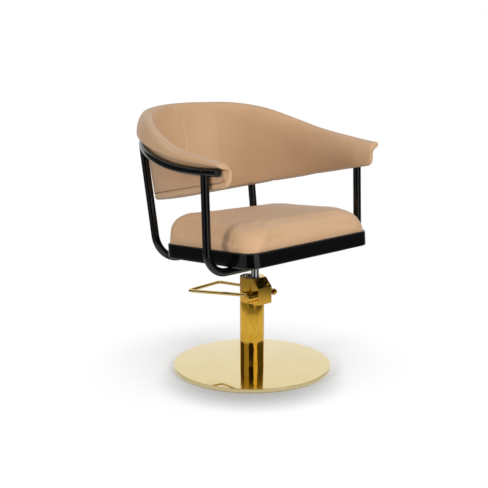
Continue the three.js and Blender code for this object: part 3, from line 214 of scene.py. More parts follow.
def smoothstep(value):
    """v squared (3 - 2 v), with v held between 0 and 1."""
    value = np.clip(value, 0, 1)
    return value * value * (3 - 2 * value)


# Blender pieces


def in_scene(name, data):
    """A mesh, lamp or camera as an object in the scene."""
    made = bpy.data.objects.new(name, data)
    bpy.context.scene.collection.objects.link(made)
    return made


def mesh_object(name, shape, crease=32):
    """A closed mesh object in metres, smooth but for edges past `crease` degrees."""
    points, faces = shape
    mesh = bpy.data.meshes.new(name)
    mesh.from_pydata((points * MM).tolist(), [], faces.tolist())
    tidy_mesh(mesh)
    mesh.shade_smooth()
    mesh.set_sharp_from_angle(angle=np.radians(crease))
    return in_scene(name, mesh)


def tidy_mesh(mesh):
    """Merges doubles, drops faces with no area and turns the rest outward."""
    work = bmesh.new()
    work.from_mesh(mesh)
    bmesh.ops.remove_doubles(work, verts=work.verts, dist=WELD)
    bmesh.ops.dissolve_degenerate(work, edges=work.edges, dist=WELD)
    bmesh.ops.recalc_face_normals(work, faces=work.faces)
    work.to_mesh(mesh)
    work.free()


def dress(piece, body, finish, stands_for=()):
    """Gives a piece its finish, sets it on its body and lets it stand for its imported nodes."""
    piece.data.materials.clear()
    piece.data.materials.append(finish)
    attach(piece, body)
    if stands_for:
        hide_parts(*stands_for)
    return piece


def bevel(piece, width):
    """A live bevel on the piece's sharp edges, in millimetres."""
    made = piece.modifiers.new("softened edges", "BEVEL")
    made.width, made.segments = width * MM, 3
    made.limit_method, made.angle_limit = "ANGLE", SHARP
    made.harden_normals = True


def softened_copy(node, name, width):
    """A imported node's mesh copied, merged and cleared of its flat faces' triangles, with bevelled edges."""
    mesh = frame["nodes"][node].data.copy()
    work = bmesh.new()
    work.from_mesh(mesh)
    bmesh.ops.remove_doubles(work, verts=work.verts, dist=CAD_WELD)
    bmesh.ops.dissolve_limit(work, angle_limit=FLAT, verts=work.verts, edges=work.edges)
    work.to_mesh(mesh)
    work.free()
    mesh.shade_smooth()
    mesh.set_sharp_from_angle(angle=SHARP)
    made = in_scene(name, mesh)
    bevel(made, width)
    return made


def read_points(mesh):
    """A mesh's points as an array, in metres."""
    points = np.empty(len(mesh.vertices) * 3)
    mesh.vertices.foreach_get("co", points)
    return points.reshape(-1, 3)


def voxelled(piece, size):
    """The piece's mesh rebuilt from even voxels of `size` millimetres."""
    remesh = piece.modifiers.new("even mesh", "REMESH")
    remesh.mode, remesh.voxel_size = "VOXEL", size * MM
    bpy.context.view_layer.update()
    fresh = bpy.data.meshes.new_from_object(piece.evaluated_get(bpy.context.evaluated_depsgraph_get()))
    piece.modifiers.remove(remesh)
    piece.data = fresh
    fresh.shade_smooth()


def subdivided(piece):
    """One live subdivision, the same in view and render."""
    made = piece.modifiers.new("finer", "SUBSURF")
    made.levels = made.render_levels = 1


def puffed(piece, pressure, most, held):
    """Fills a piece with air as cloth, without gravity, and moves no point more than `most` millimetres.

    `held` gives each point's share, 0 to 1, of being pinned where it is.
    """
    mesh, scene = piece.data, bpy.context.scene
    before = read_points(mesh)
    group = piece.vertex_groups.new(name="held")
    held = np.round(held, 1)
    for share in np.unique(held):
        group.add(np.flatnonzero(held == share).tolist(), float(share), "REPLACE")
    cloth = piece.modifiers.new("air", "CLOTH")
    settings = cloth.settings
    settings.use_pressure, settings.uniform_pressure_force = True, pressure
    settings.effector_weights.gravity = 0
    settings.vertex_group_mass = group.name
    settings.tension_stiffness = settings.compression_stiffness = AIR_STRETCH
    settings.bending_stiffness = AIR_BEND
    cloth.point_cache.frame_start, cloth.point_cache.frame_end = 1, AIR_FRAMES
    for step in range(1, AIR_FRAMES + 1):
        scene.frame_set(step)
    after = read_points(piece.evaluated_get(bpy.context.evaluated_depsgraph_get()).data)
    piece.modifiers.remove(cloth)
    piece.vertex_groups.remove(group)
    scene.frame_set(1)
    move = after - before
    length = np.linalg.norm(move, axis=1, keepdims=True)
    move *= np.minimum(1, most * MM / np.maximum(length, 1e-9))
    mesh.vertices.foreach_set("co", (before + move).ravel())
    mesh.update()


# Finishes


class Value:
    """A number socket: arithmetic on it adds the Math nodes that work it out."""

    def __init__(self, finish, socket):
        self.finish, self.socket = finish, socket

    def _math(self, operation, *values):
        """One Math node on the values."""
        return self.finish.add("ShaderNodeMath", {"operation": operation}, dict(enumerate(values)))

    def __add__(self, other):
        return self._math("ADD", self, other)

    def __sub__(self, other):
        return self._math("SUBTRACT", self, other)

    def __rsub__(self, other):
        return self._math("SUBTRACT", other, self)

    def __mul__(self, other):
        return self._math("MULTIPLY", self, other)

    def __pow__(self, other):
        return self._math("POWER", self, other)

    __radd__, __rmul__ = __add__, __mul__

    def size(self):
        """The value without its sign."""
        return self._math("ABSOLUTE", self)

    def angle_from(self, other):
        """The angle, in radians, of the direction that is this far to the side and `other` ahead."""
        return self._math("ARCTAN2", self, other)

    def above(self, low, high):
        """0 below `low`, 1 over `high` and a smooth rise between them."""
        settings = {"interpolation_type": "SMOOTHSTEP"}
        inputs = {"Value": self, "From Min": low, "From Max": high}
        return self.finish.add("ShaderNodeMapRange", settings, inputs, "Result")


class Finish:
    """A node tree that is filled by adding nodes, for a material or the world."""

    def __init__(self, owner):
        self.owner = owner
        owner.use_nodes = True
        self.tree = owner.node_tree
        self.tree.nodes.clear()

    def add(self, kind, settings, inputs, output=0):
        """A node of a type: its settings first, then a value or a link for each input, and one output."""
        node = self.tree.nodes.new(kind)
        for name, value in settings.items():
            setattr(node, name, value)
        for name, value in inputs.items():
            if isinstance(value, Value):
                self.tree.links.new(value.socket, node.inputs[name])
            elif value is not None:
                node.inputs[name].default_value = value
        return Value(self, node.outputs[output]) if node.outputs else node

    def place(self, scale=(1, 1, 1)):
        """Object coordinates, scaled along each axis."""
        coordinates = self.add("ShaderNodeTexCoord", {}, {}, "Object")
        return self.add("ShaderNodeMapping", {}, {"Vector": coordinates, "Scale": scale})

    def noise(self, scale, detail, roughness=0.5, place=None):
        """Cloudy noise from 0 to 1, `scale` patches to the metre."""
        inputs = {"Vector": place or self.place(), "Scale": scale, "Detail": detail, "Roughness": roughness}
        return self.add("ShaderNodeTexNoise", {}, inputs)

    def axes(self, place=None):
        """The three coordinates as numbers, in metres."""
        split = self.add("ShaderNodeSeparateXYZ", {}, {"Vector": place or self.place()})
        return [Value(self, socket) for socket in split.socket.node.outputs]

    def rays(self):
        """Two values: 1 for what the camera sees, and 1 for what a polished surface sees."""
        flags = self.add("ShaderNodeLightPath", {}, {}).socket.node.outputs
        return [Value(self, flags[name]) for name in ("Is Camera Ray", "Is Glossy Ray")]

    def blend(self, factor, first, second):
        """A colour from `first` at 0 to `second` at 1."""
        inputs = {0: factor, 6: colour(first), 7: colour(second)}
        return self.add("ShaderNodeMix", {"data_type": "RGBA"}, inputs, 2)

    def bump(self, height, depth, strength, normal=None):
        """A surface normal from a height from 0 to 1 that stands for `depth` metres."""
        inputs = {"Height": height, "Distance": depth, "Strength": strength, "Normal": normal}
        return self.add("ShaderNodeBump", {}, inputs)

    def surface(self, constants, inputs):
        """The Principled surface and the material's output."""
        shader = self.add("ShaderNodeBsdfPrincipled", {}, {**constants, **inputs})
        self.add("ShaderNodeOutputMaterial", {}, {"Surface": shader})
        return self.owner


def colour(value):
    """A colour with its alpha, or a link as it is."""
    return value if isinstance(value, Value) else (*value, 1)


def new_finish(name):
    """An empty material to fill."""
    return Finish(bpy.data.materials.new(name))


def mirror_gold(name, base, deep, roughness, marks, waves=0.0):
    """Polished gold plate: wiping marks, fine hairlines, a slow drift of tone, and waves in a rolled tube."""
    finish = new_finish(name)
    cloud = finish.noise(9, 3)
    smears = finish.noise(34, 4, place=finish.place((1, 1, 0.35)))
    hairs = finish.noise(900, 2, place=finish.place((1, 1, 0.02)))
    tone = finish.blend(cloud.above(0.35, 0.7) * marks, base, deep)
    rough = roughness + smears.above(0.45, 0.75) * 0.06 + hairs.above(0.6, 0.9) * 0.03
    normal = finish.bump(smears, 0.00002, 0.3)
    if waves:
        flecks = finish.noise(95, 3, place=finish.place((1, 1, 0.3)))
        tone = finish.blend(flecks.above(0.35, 0.7) * waves, tone, deep)
        normal = finish.bump(flecks, 0.0012, waves, normal)
    return finish.surface({"Metallic": 1.0}, {"Base Color": tone, "Roughness": rough, "Normal": normal})


def gloss_black():
    """Powder-coated steel: a faint orange-peel skin under a clear gloss, with a little dust in patches."""
    finish = new_finish("gloss black coat")
    peel = finish.noise(420, 2)
    dust = finish.noise(60, 5).above(0.62, 0.9)
    tone = finish.blend(dust * 0.25, (0.001, 0.001, 0.0012), (0.006, 0.006, 0.0065))
    rough = 0.08 + dust * 0.12 + finish.noise(8, 2) * 0.05
    normal = finish.bump(peel, 0.00004, 0.35)
    return finish.surface({"IOR": 1.5}, {"Base Color": tone, "Roughness": rough, "Normal": normal})


def leather(name, light, deep):
    """Smooth upholstery leather: a pebbled grain, finer pores, slow shading and a few soft creases."""
    finish = new_finish(name)
    warp = finish.noise(55, 3)
    settings, inputs = {"feature": "DISTANCE_TO_EDGE"}, {"Vector": finish.place(), "Scale": 620}
    grain = finish.add("ShaderNodeTexVoronoi", settings, inputs)
    pores = finish.noise(2600, 2)
    slow = finish.noise(7, 3)
    creases = finish.noise(24, 4, 0.6, finish.place((1, 1, 0.5)))
    tone = finish.blend(slow.above(0.3, 0.75) * 0.55 + warp * 0.2, light, deep)
    cells = grain.above(0.0, 0.16)
    pits = (1 - cells) * 0.14 + pores.above(0.55, 0.8) * 0.06
    tone = finish.blend(pits, tone, tuple(v * 0.72 for v in deep))
    rough = 0.44 + warp * 0.1 - cells * 0.05 + slow * 0.05
    normal = finish.bump(cells * 0.8 + pores * 0.2, 0.00012, 0.45)
    normal = finish.bump(creases, 0.004, 0.12, normal)
    constants = {"Specular IOR Level": 0.7, "Sheen Weight": 0.1, "Sheen Roughness": 0.5}
    return finish.surface(constants, {"Base Color": tone, "Roughness": rough, "Normal": normal})


def plain_metal(name, base, roughness):
    """Ground or machined metal: fine marks that change its gloss, and a trace of oil."""
    finish = new_finish(name)
    marks = finish.noise(500, 3, place=finish.place((1, 1, 0.05)))
    film = finish.noise(30, 4)
    tone = finish.blend(film.above(0.4, 0.8) * 0.5, base, tuple(v * 0.7 for v in base))
    rough = roughness + marks * 0.12 * roughness + film.above(0.5, 0.9) * 0.08
    normal = finish.bump(marks, 0.00003, 0.4)
    return finish.surface({"Metallic": 1.0}, {"Base Color": tone, "Roughness": rough, "Normal": normal})


def moulded(name, base, roughness):
    """Moulded rubber or plastic: a matt skin with scuffs and dust."""
    finish = new_finish(name)
    pits = finish.noise(900, 2)
    scuffs = finish.noise(70, 5).above(0.55, 0.8)
    tone = finish.blend(scuffs * 0.5, base, tuple(v * 2.2 + 0.01 for v in base))
    rough = roughness + scuffs * 0.1
    normal = finish.bump(pits, 0.0001, 0.4)
    return finish.surface({}, {"Base Color": tone, "Roughness": rough, "Normal": normal})


def plywood():
    """Bare plywood: stretched face grain and the light and dark plies along its edge."""
    finish = new_finish("plywood")
    grain = finish.noise(40, 6, 0.6, finish.place((1, 14, 14)))
    height = finish.axes()[2]
    plies = finish.add("ShaderNodeMath", {"operation": "PINGPONG"}, {0: height, 1: 0.0015}) * 650
    tone = finish.blend(grain * 0.7 + plies.above(0.3, 0.7) * 0.2, (0.56, 0.38, 0.2), (0.33, 0.19, 0.09))
    rough = 0.6 + grain * 0.2
    normal = finish.bump(grain, 0.0003, 0.4)
    return finish.surface({}, {"Base Color": tone, "Roughness": rough, "Normal": normal})


# The disc and cap take a paler copy of the gold plate, painted light for their faces that mirror the bright
# room above
PALE_LIT_GOLD = mirror_gold("pale lit mirror gold", (0.76, 0.63, 0.33), (0.72, 0.58, 0.28), 0.04, 0.6)
HEAD_GOLD = mirror_gold("deep mirror gold", (0.82, 0.475, 0.065), (0.70, 0.38, 0.04), 0.05, 0.8)
COLUMN_GOLD = mirror_gold("column gold", (0.84, 0.50, 0.065), (0.66, 0.34, 0.02), 0.06, 0.6, 0.5)
PEDAL_GOLD = mirror_gold("pedal gold", (0.80, 0.60, 0.24), (0.74, 0.50, 0.14), 0.07, 0.8)
BLACK = gloss_black()
LEATHER = leather("tan leather", (0.60, 0.38, 0.215), (0.52, 0.31, 0.165))
PANEL_LEATHER = leather("tan panel leather", (0.56, 0.335, 0.19), (0.48, 0.275, 0.15))
CHROME = plain_metal("ground chrome", (0.62, 0.63, 0.65), 0.09)
STEEL = plain_metal("machined steel", (0.36, 0.36, 0.37), 0.34)
BRONZE = plain_metal("sintered bronze", (0.42, 0.24, 0.11), 0.4)
RUBBER = moulded("black rubber", (0.012, 0.012, 0.012), 0.75)
PLASTIC = moulded("black plastic", (0.008, 0.008, 0.009), 0.35)
THREAD = moulded("dark thread", (0.03, 0.018, 0.012), 0.8)
PLYWOOD = plywood()


# Base and column


def disc_plate():
    """The round plate: a closed profile turned about Z, with both rims rounded."""
    corners = [(0, DISC_BOTTOM), (DISC_RADIUS, DISC_BOTTOM), (DISC_RADIUS, DISC_TOP), (0, DISC_TOP)]
    return turned(rounded(corners, [0, 1, DISC_BEVEL, 0]), 256)


def feet():
    """Three pads: a short turned profile set at equal angles round the disc."""
    corners = [(0, 0), (FOOT_RADIUS, 0), (FOOT_RADIUS, DISC_BOTTOM), (0, DISC_BOTTOM)]
    points, faces = turned(rounded(corners, [0, 1, 0.3, 0], 3), 32)
    angles = FIRST_FOOT + TAU * np.arange(3) / 3
    places = FOOT_RING * np.stack([np.cos(angles), np.sin(angles), 0 * angles], -1)
    return [(points + place, faces) for place in places]


def column_sleeve():
    """The column: a ring profile, turned, with its upper edge eased where the head begins."""
    top = COLUMN_JOINT - GAP
    start = (COLUMN_BORE, 60)
    corners = [start, (COLUMN_BORE, DISC_TOP), (COLUMN_RADIUS, DISC_TOP), (COLUMN_RADIUS, top)]
    return turned(rounded([*corners, (COLUMN_BORE, top), start], [0, 0, 0.2, 0.8, 0, 0]), 128)


def head_casting():
    """The head: at each angle round the column its outline is the larger of the circle and the front block.

    The rings go down the bore, out along the bottom, up the side, in over the chamfer to its crease and back
    in to the bore. The chamfer's height is COLUMN_TOP - CHAMFER + y + HEAD_FRONT, cut off at COLUMN_TOP.
    """
    corner = np.arctan2(-HEAD_FRONT, HEAD_HALF_WIDTH)
    meets = np.arctan2(-np.sqrt(COLUMN_RADIUS**2 - HEAD_HALF_WIDTH**2), HEAD_HALF_WIDTH)
    crease = np.arctan2(CHAMFER - HEAD_FRONT, HEAD_HALF_WIDTH)
    marks = np.array([corner, meets, crease])
    a = np.unique(np.r_[np.linspace(-np.pi, np.pi, 160, endpoint=False), marks, -np.pi - marks])
    cosine, sine = np.cos(a), np.sin(a)
    to_side = HEAD_HALF_WIDTH / np.maximum(np.abs(cosine), 1e-9)
    to_front = np.where(sine < 0, HEAD_FRONT / np.maximum(-sine, 1e-9), 0)
    edge = np.maximum(COLUMN_RADIUS, np.minimum(to_side, to_front))
    to_crease = np.where(sine < 0, (HEAD_FRONT - CHAMFER) / np.maximum(-sine, 1e-9), np.inf)
    shoulder = np.minimum(edge, to_crease)
    bore, low, top = (value + 0 * a for value in (HEAD_BORE, COLUMN_JOINT, COLUMN_TOP))
    side_top = np.minimum(COLUMN_TOP, COLUMN_TOP - CHAMFER + edge * sine + HEAD_FRONT)
    rows = [(bore, top), (bore, low), (edge, low), (edge, side_top), (shoulder, top)]
    points = np.stack([np.stack([r * cosine, r * sine, z], -1) for r, z in rows])
    return points.reshape(-1, 3), grid_faces(len(rows), len(a), wrap_rows=True, wrap_columns=True)


def cap_plate():
    """The head's cap: a turned plate with a shallow groove round the rod's seal."""
    start, top, groove = (CAP_BORE, CAP_BOTTOM), COLUMN_TOP, CAP_GROOVE
    corners = [start, (CAP_RADIUS, CAP_BOTTOM), (CAP_RADIUS, top), (groove + 1, top), (groove, top - 0.6)]
    corners += [(groove - 1, top), (CAP_BORE, top), start]
    return turned(rounded(corners, [0, 0.4, 0.8, 0.3, 0.5, 0.3, 0.6, 0]), 96)


def seal_ring():
    """The rod's wiper seal: a turned ring with a rounded lip."""
    inner = ROD_RADIUS + GAP
    start = (inner, GLAND_BOTTOM)
    corners = [start, (GLAND_RADIUS, GLAND_BOTTOM), (GLAND_RADIUS, GLAND_TOP), (inner, GLAND_TOP), start]
    points, faces = turned(rounded(corners, [0, 0, 0.9, 0.5, 0], 4), 64)
    return points + (0, ROD_Y, 0), faces


def rod():
    """The piston rod: stud, shaft and journal turned about its own axis."""
    corners = [(0, STUD_BOTTOM), (STUD_RADIUS, STUD_BOTTOM), (STUD_RADIUS, ROD_BOTTOM)]
    corners += [(ROD_RADIUS, ROD_BOTTOM), (ROD_RADIUS, ROD_SHOULDER), (JOURNAL_RADIUS, ROD_SHOULDER)]
    corners += [(JOURNAL_RADIUS, JOURNAL_TOP), (0, JOURNAL_TOP)]
    points, faces = turned(rounded(corners, [0, 0.5, 0, 0.5, 0.8, 0, 0.8, 0], 4), 72)
    return points + (0, ROD_Y, 0), faces


# Pedal, drawn about its axle


def pedal_path():
    """The pedal's rod: out from the collar, across the bar and back to the end piece, its corners rounded."""
    near = -HEAD_HALF_WIDTH - GAP - COLLAR_LENGTH / 2
    far = HEAD_HALF_WIDTH + KNOB_STAND_OFF + KNOB_LENGTH / 2
    corners = [
        (near, 0, NEAR_ROOT),
        (near - NEAR_FLARE, PEDAL_REACH - BAR_SKEW, -NEAR_DROP),
        (far + FAR_FLARE, PEDAL_REACH + BAR_SKEW, -FAR_DROP),
        (far, 0, FAR_ROOT),
    ]
    return rounded(corners, PEDAL_BEND, 12)


def pedal_rod():
    """The bent rod swept along its path."""
    points, faces = swept(pedal_path(), PEDAL_RADIUS, np.array([0, NEAR_DROP, PEDAL_REACH]), 28)
    return points + (0, AXLE_Y, AXLE_Z), faces


def clamp_collar():
    """The clamp collar: a closed turned sleeve along X, bevelled and grooved, and a boss for its screw."""
    inner, outer = -HEAD_HALF_WIDTH - GAP, -HEAD_HALF_WIDTH - GAP - COLLAR_LENGTH
    waist, radius = (inner + outer) / 2, COLLAR_RADIUS
    corners = [(0, outer), (radius - 4, outer), (radius, outer + 4), (radius, waist - 2)]
    corners += [(radius - 1.5, waist), (radius, waist + 2), (radius, inner), (AXLE_HOLE, inner)]
    corners += [(AXLE_HOLE, outer + 3), (0, outer + 3)]
    profile = rounded(corners, [0, 0.8, 0.8, 0.5, 0.5, 0.5, 1, 0, 0, 0])
    sleeve = lay_along_x(turned(profile, 72), (0, AXLE_Y, AXLE_Z))
    reach = AXLE_Z - BOSS_REACH
    stub = rounded([(0, reach), (BOSS_RADIUS, reach), (BOSS_RADIUS, AXLE_Z), (0, AXLE_Z)], [0, 1, 0, 0])
    points, faces = turned(stub, 40)
    return sleeve, (points + (waist, AXLE_Y, 0), faces)


def end_piece():
    """The round end piece: a domed turned body with a hole for the axle, laid along X."""
    start = HEAD_HALF_WIDTH + KNOB_STAND_OFF
    end, hole_end = start + KNOB_LENGTH, start + 8
    corners = [(AXLE_HOLE, start), (KNOB_RADIUS, start), (KNOB_RADIUS, end - 7), (KNOB_RADIUS - 6, end)]
    corners += [(0, end), (0, hole_end), (AXLE_HOLE, hole_end), (AXLE_HOLE, start)]
    profile = rounded(corners, [0, 1.2, 5, 3, 0, 0, 0, 0], 8)
    return lay_along_x(turned(profile, 56), (0, AXLE_Y, AXLE_Z))


def axle_pin():
    """The axle: a plain turned pin along X with eased ends."""
    start = -HEAD_HALF_WIDTH - COLLAR_LENGTH + 3
    end = HEAD_HALF_WIDTH + KNOB_STAND_OFF + KNOB_LENGTH - KNOB_RADIUS
    profile = rounded([(0, start), (AXLE_RADIUS, start), (AXLE_RADIUS, end), (0, end)], [0, 0.6, 0.6, 0])
    return lay_along_x(turned(profile, 40), (0, AXLE_Y, AXLE_Z))


# Tray, cushion and tube frame


def outline(inset, z, back_corner=TRAY_CORNER, front_corner=TRAY_CORNER, steps=14):
    """A rounded rectangle round the tray's centre, drawn in by `inset`: quarter arcs and straight sides."""
    a = np.linspace(0, np.pi / 2, steps + 1)
    made = []
    for quarter, (sx, sy) in enumerate([(1, 1), (-1, 1), (-1, -1), (1, -1)]):
        radius = max((back_corner if sy > 0 else front_corner) - inset, GAP)
        x = sx * (TRAY_WIDTH / 2 - inset - radius) + radius * np.cos(a + quarter * np.pi / 2)
        y = TRAY_Y + sy * (TRAY_DEPTH / 2 - inset - radius) + radius * np.sin(a + quarter * np.pi / 2)
        made.append(np.stack([x, y, z + 0 * a], -1))
    return np.vstack(made)


def tray_pan():
    """The tray: outlines from its floor's middle out, up the side, over the rolled lip and down inside."""
    middle = 200
    corners = [(middle, 0), (0, 0), (0, TRAY_HEIGHT), (TRAY_WALL, TRAY_HEIGHT)]
    corners += [(TRAY_WALL, TRAY_FLOOR), (middle, TRAY_FLOOR)]
    section = rounded(corners, [0, 4, TRAY_ROUND, 1.5, 1, 0], 7)
    rings = np.stack([outline(inset, z) for inset, z in section])
    centre = np.array([0, TRAY_Y, 0])
    rings[0], rings[-1] = centre, centre + (0, 0, TRAY_FLOOR)
    return leaned(skin(rings))


def cushion_form():
    """The cushion: outlines up its sides, round its top edge and in over a crown.

    Above the tray a ring's corners soften with its height share h, and it is raised by h squared times the
    sum of (rise - side across) (1 + along) / 2 and crown (1 - across squared) (1 - along to the fourth / 2).
    """
    side, shoulder = TRAY_WALL + GAP - CUSHION_BULGE, CUSHION_TOP - CUSHION_ROUND
    a = np.linspace(0, np.pi / 2, 10)
    edge = [(side + CUSHION_ROUND * (1 - np.cos(v)), shoulder + CUSHION_ROUND * np.sin(v)) for v in a]
    inner = side + CUSHION_ROUND
    reach = TRAY_DEPTH / 2 - inner
    levels = [(TRAY_WALL + GAP, CUSHION_BOTTOM), (TRAY_WALL + GAP, TRAY_HEIGHT)]
    levels += [(side + 1, TRAY_HEIGHT + 8), (side, (TRAY_HEIGHT + shoulder) / 2), *edge]
    levels += [(inner + reach * share, CUSHION_TOP) for share in np.linspace(0.08, 0.97, 14)]
    rings = []
    for inset, z in levels:
        h = max(0.0, (z - TRAY_HEIGHT) / (CUSHION_TOP - TRAY_HEIGHT))
        back, front = (TRAY_CORNER + (size - TRAY_CORNER) * h for size in (BACK_CORNER, FRONT_CORNER))
        ring = outline(inset, z, back + inset * h / 2, front + inset * h / 2, steps=10)
        across, along = 2 * ring[:, 0] / TRAY_WIDTH, 2 * (ring[:, 1] - TRAY_Y) / TRAY_DEPTH
        crown = CUSHION_CROWN * (1 - across**2) * (1 - along**4 / 2)
        ring[:, 2] += h**2 * ((BACK_RISE - SIDE_RISE * across) * (1 + along) / 2 + crown)
        rings.append(ring)
    return leaned(closed_skin(rings))


def held_in_tray(points):
    """1 for the cushion's points in the tray, and a smooth fall to 0 over HELD_FADE above its rim."""
    _, y, z = points.T / MM
    over_seat = (z - SEAT_Z) + (y - ROD_Y) * np.sin(SEAT_LEAN)
    return 1 - smoothstep((over_seat - TRAY_HEIGHT + HELD_BELOW) / HELD_FADE)


def front_y(z):
    """The front hoop's y at a height: its plane leans a little."""
    return FRONT_Y + FRONT_LEAN * z


def hoop(top, foot, bend):
    """A hoop from one top down to a rounded foot, across and up to the other top."""
    mirror = np.array([-1, 1, 1])
    corners = np.array([top, foot, foot * mirror, top * mirror])
    normal = np.cross(corners[1] - corners[0], corners[2] - corners[1])
    return swept(rounded(corners, bend, 20), TUBE_RADIUS + COAT, normal)


def front_hoop_tube():
    """The front hoop: up both sides to the rail in one leaning plane."""
    top = RAIL_LOW_Z - COPE_LOW
    return leaned(hoop(*(np.array([RAIL_HALF_WIDTH, front_y(z), z]) for z in (top, RUN_Z)), FRONT_BEND))


def rear_hoop_tube():
    """The rear hoop: splayed and leaning back, up to the rail's curve."""
    top = rail_at(REAR_RAIL) - (0, 0, COPE_LOW)
    return leaned(hoop(top, np.array([top[0] - REAR_SPLAY, REAR_Y, REAR_RUN_Z]), REAR_BEND))


# Rail and shell


class Plan:
    """A plan line of straight arms and half an ellipse, as its x, y, angle and distance along it."""

    def __init__(self, front):
        a = np.linspace(0, np.pi, 361)
        self.x = np.r_[-RAIL_HALF_WIDTH, -RAIL_HALF_WIDTH * np.cos(a), RAIL_HALF_WIDTH]
        self.y = np.r_[front, WIDEST_Y + (RAIL_BACK - WIDEST_Y) * np.sin(a), front]
        self.angle = np.r_[0, a, np.pi]
        self.distance = np.r_[0, np.cumsum(np.hypot(np.diff(self.x), np.diff(self.y)))]
        self.length = self.distance[-1]

    def at(self, distance):
        """x, y, angle and the outward direction at distances along the line."""
        x, y, a = (np.interp(distance, self.distance, v) for v in (self.x, self.y, self.angle))
        out = unit(np.stack([-np.cos(a) / RAIL_HALF_WIDTH, np.sin(a) / (RAIL_BACK - WIDEST_Y)], -1))
        return x, y, a, out


rail_plan, shell_plan = Plan(RAIL_FRONT_Y), Plan(SHELL_FRONT_Y)


def rail_height(from_back):
    """The rail's height: level along the arms, and half a cosine wave up to the middle of the back."""
    rise_length = rail_plan.length / 2 - (RAIL_LOW_Y - RAIL_FRONT_Y)
    share = np.clip(1 - from_back / rise_length, 0, 1)
    return RAIL_LOW_Z + RAIL_RISE * (1 - np.cos(np.pi * share)) / 2


def rail_points(distance):
    """Points of the rail's axis at distances along its plan."""
    x, y, _, _ = rail_plan.at(distance)
    return np.stack([x, y, rail_height(np.abs(distance - rail_plan.length / 2))], -1)


def rail_at(angle):
    """The rail's point at an angle round its curved stretch."""
    return rail_points(np.array([np.interp(angle, rail_plan.angle, rail_plan.distance)]))[0]


def rail_tube():
    """The rail swept along its plan and height, with its cut ends eased."""
    path, radii = soft_ends(rail_points(np.linspace(0, rail_plan.length, 241)), TUBE_RADIUS + COAT, 1.2)
    return leaned(swept(path, radii, np.array([0, 0, 1.0])))


def rail_caps():
    """The caps in the rail's two ends: a low dome turned about the rail's end."""
    neck, rim = 9.6, 11.4
    dome = [(0, -4), (neck, -4), (neck, 0.4), (rim, 0.4), (rim, 1.6), (7, 3.4), (0, 4)]
    points, faces = turned(rounded(dome, [0, 0, 0, 0.4, 1.2, 6, 0]), 48)
    ends = []
    for x in (-RAIL_HALF_WIDTH, RAIL_HALF_WIDTH):
        laid = points[:, [0, 2, 1]] * (1, -1, 1) + (x, RAIL_FRONT_Y, RAIL_LOW_Z)
        ends.append(leaned((laid, faces)))
    return ends


def screw_caps():
    """Caps over the screws that hold the rail on the front tube: low domes laid along X on its sides."""
    rim = 6
    dome = [(0, -3), (rim, -3), (rim, 0.8), (4.6, 2.2), (0, 2.6)]
    points, faces = turned(rounded(dome, [0, 0, 0.6, 1.5, 0]), 32)
    side = RAIL_HALF_WIDTH + TUBE_RADIUS
    laid = points[:, [2, 1, 0]] + (side, front_y(RAIL_LOW_Z), RAIL_LOW_Z)
    return [leaned((laid, faces)), leaned((laid * (-1, 1, 1), faces))]


def crest_share(share):
    """The crest's rise from an arm's end to the middle of the back: a Hermite curve through the shares."""
    last = len(CREST_RISE) - 1
    place = np.clip(share, 0, 1) * last
    k = np.minimum(place.astype(int), last - 1)
    slope = np.gradient(CREST_RISE)
    slope[-1] = 0
    t = place - k
    start = (1 + 2 * t) * (1 - t) ** 2 * CREST_RISE[k] + t * (1 - t) ** 2 * slope[k]
    return start + t**2 * (3 - 2 * t) * CREST_RISE[k + 1] + t**2 * (t - 1) * slope[k + 1]


class Station:
    """All that the shell's section needs at distances along its plan, as arrays."""

    def __init__(self, distance):
        self.x, self.y, self.angle, self.out = shell_plan.at(distance)
        half = shell_plan.length / 2
        from_back = np.abs(distance - half)
        self.from_end = half - from_back
        backness = np.sin(self.angle) ** 3
        hem_share = (self.y - SHELL_FRONT_Y) / (RAIL_BACK - SHELL_FRONT_Y)
        corner = np.clip(END_CORNER - self.from_end, 0, END_CORNER)
        self.rail_z = rail_height(from_back)
        self.crest_z = CREST_FRONT + (CREST_BACK - CREST_FRONT) * crest_share(self.from_end / half)
        self.hem_z = HEM_Z[0] + (HEM_Z[1] - HEM_Z[0]) * hem_share
        self.hem_z += END_CORNER - np.sqrt(END_CORNER**2 - corner**2)
        self.crest_in, self.lip_out, self.hem_in, stem = (
            front + (back - front) * backness for front, back in (CREST_IN, LIP_OUT, HEM_IN, STEM)
        )
        self.stem = stem - END_THIN * (1 - smoothstep(self.from_end / END_THIN_LENGTH))
        self.lift = LIP_LIFT * np.sin(np.pi * np.minimum(self.from_end / half, 1) ** 0.7)

    def point(self, n, z):
        """Section points in space: n outward from the rail's axis, and a height."""
        x = self.x[:, None] + self.out[:, :1] * n
        y = self.y[:, None] + self.out[:, 1:] * n
        return np.stack([x, y, z], -1)

    def outer_face(self, z):
        """How far the outer face lies from the rail's axis: it leans in towards the hem."""
        share = np.clip((self.rail_z[:, None] - z) / (self.rail_z - self.hem_z)[:, None], 0, 1)
        return STEM_FACE - self.hem_in[:, None] * share


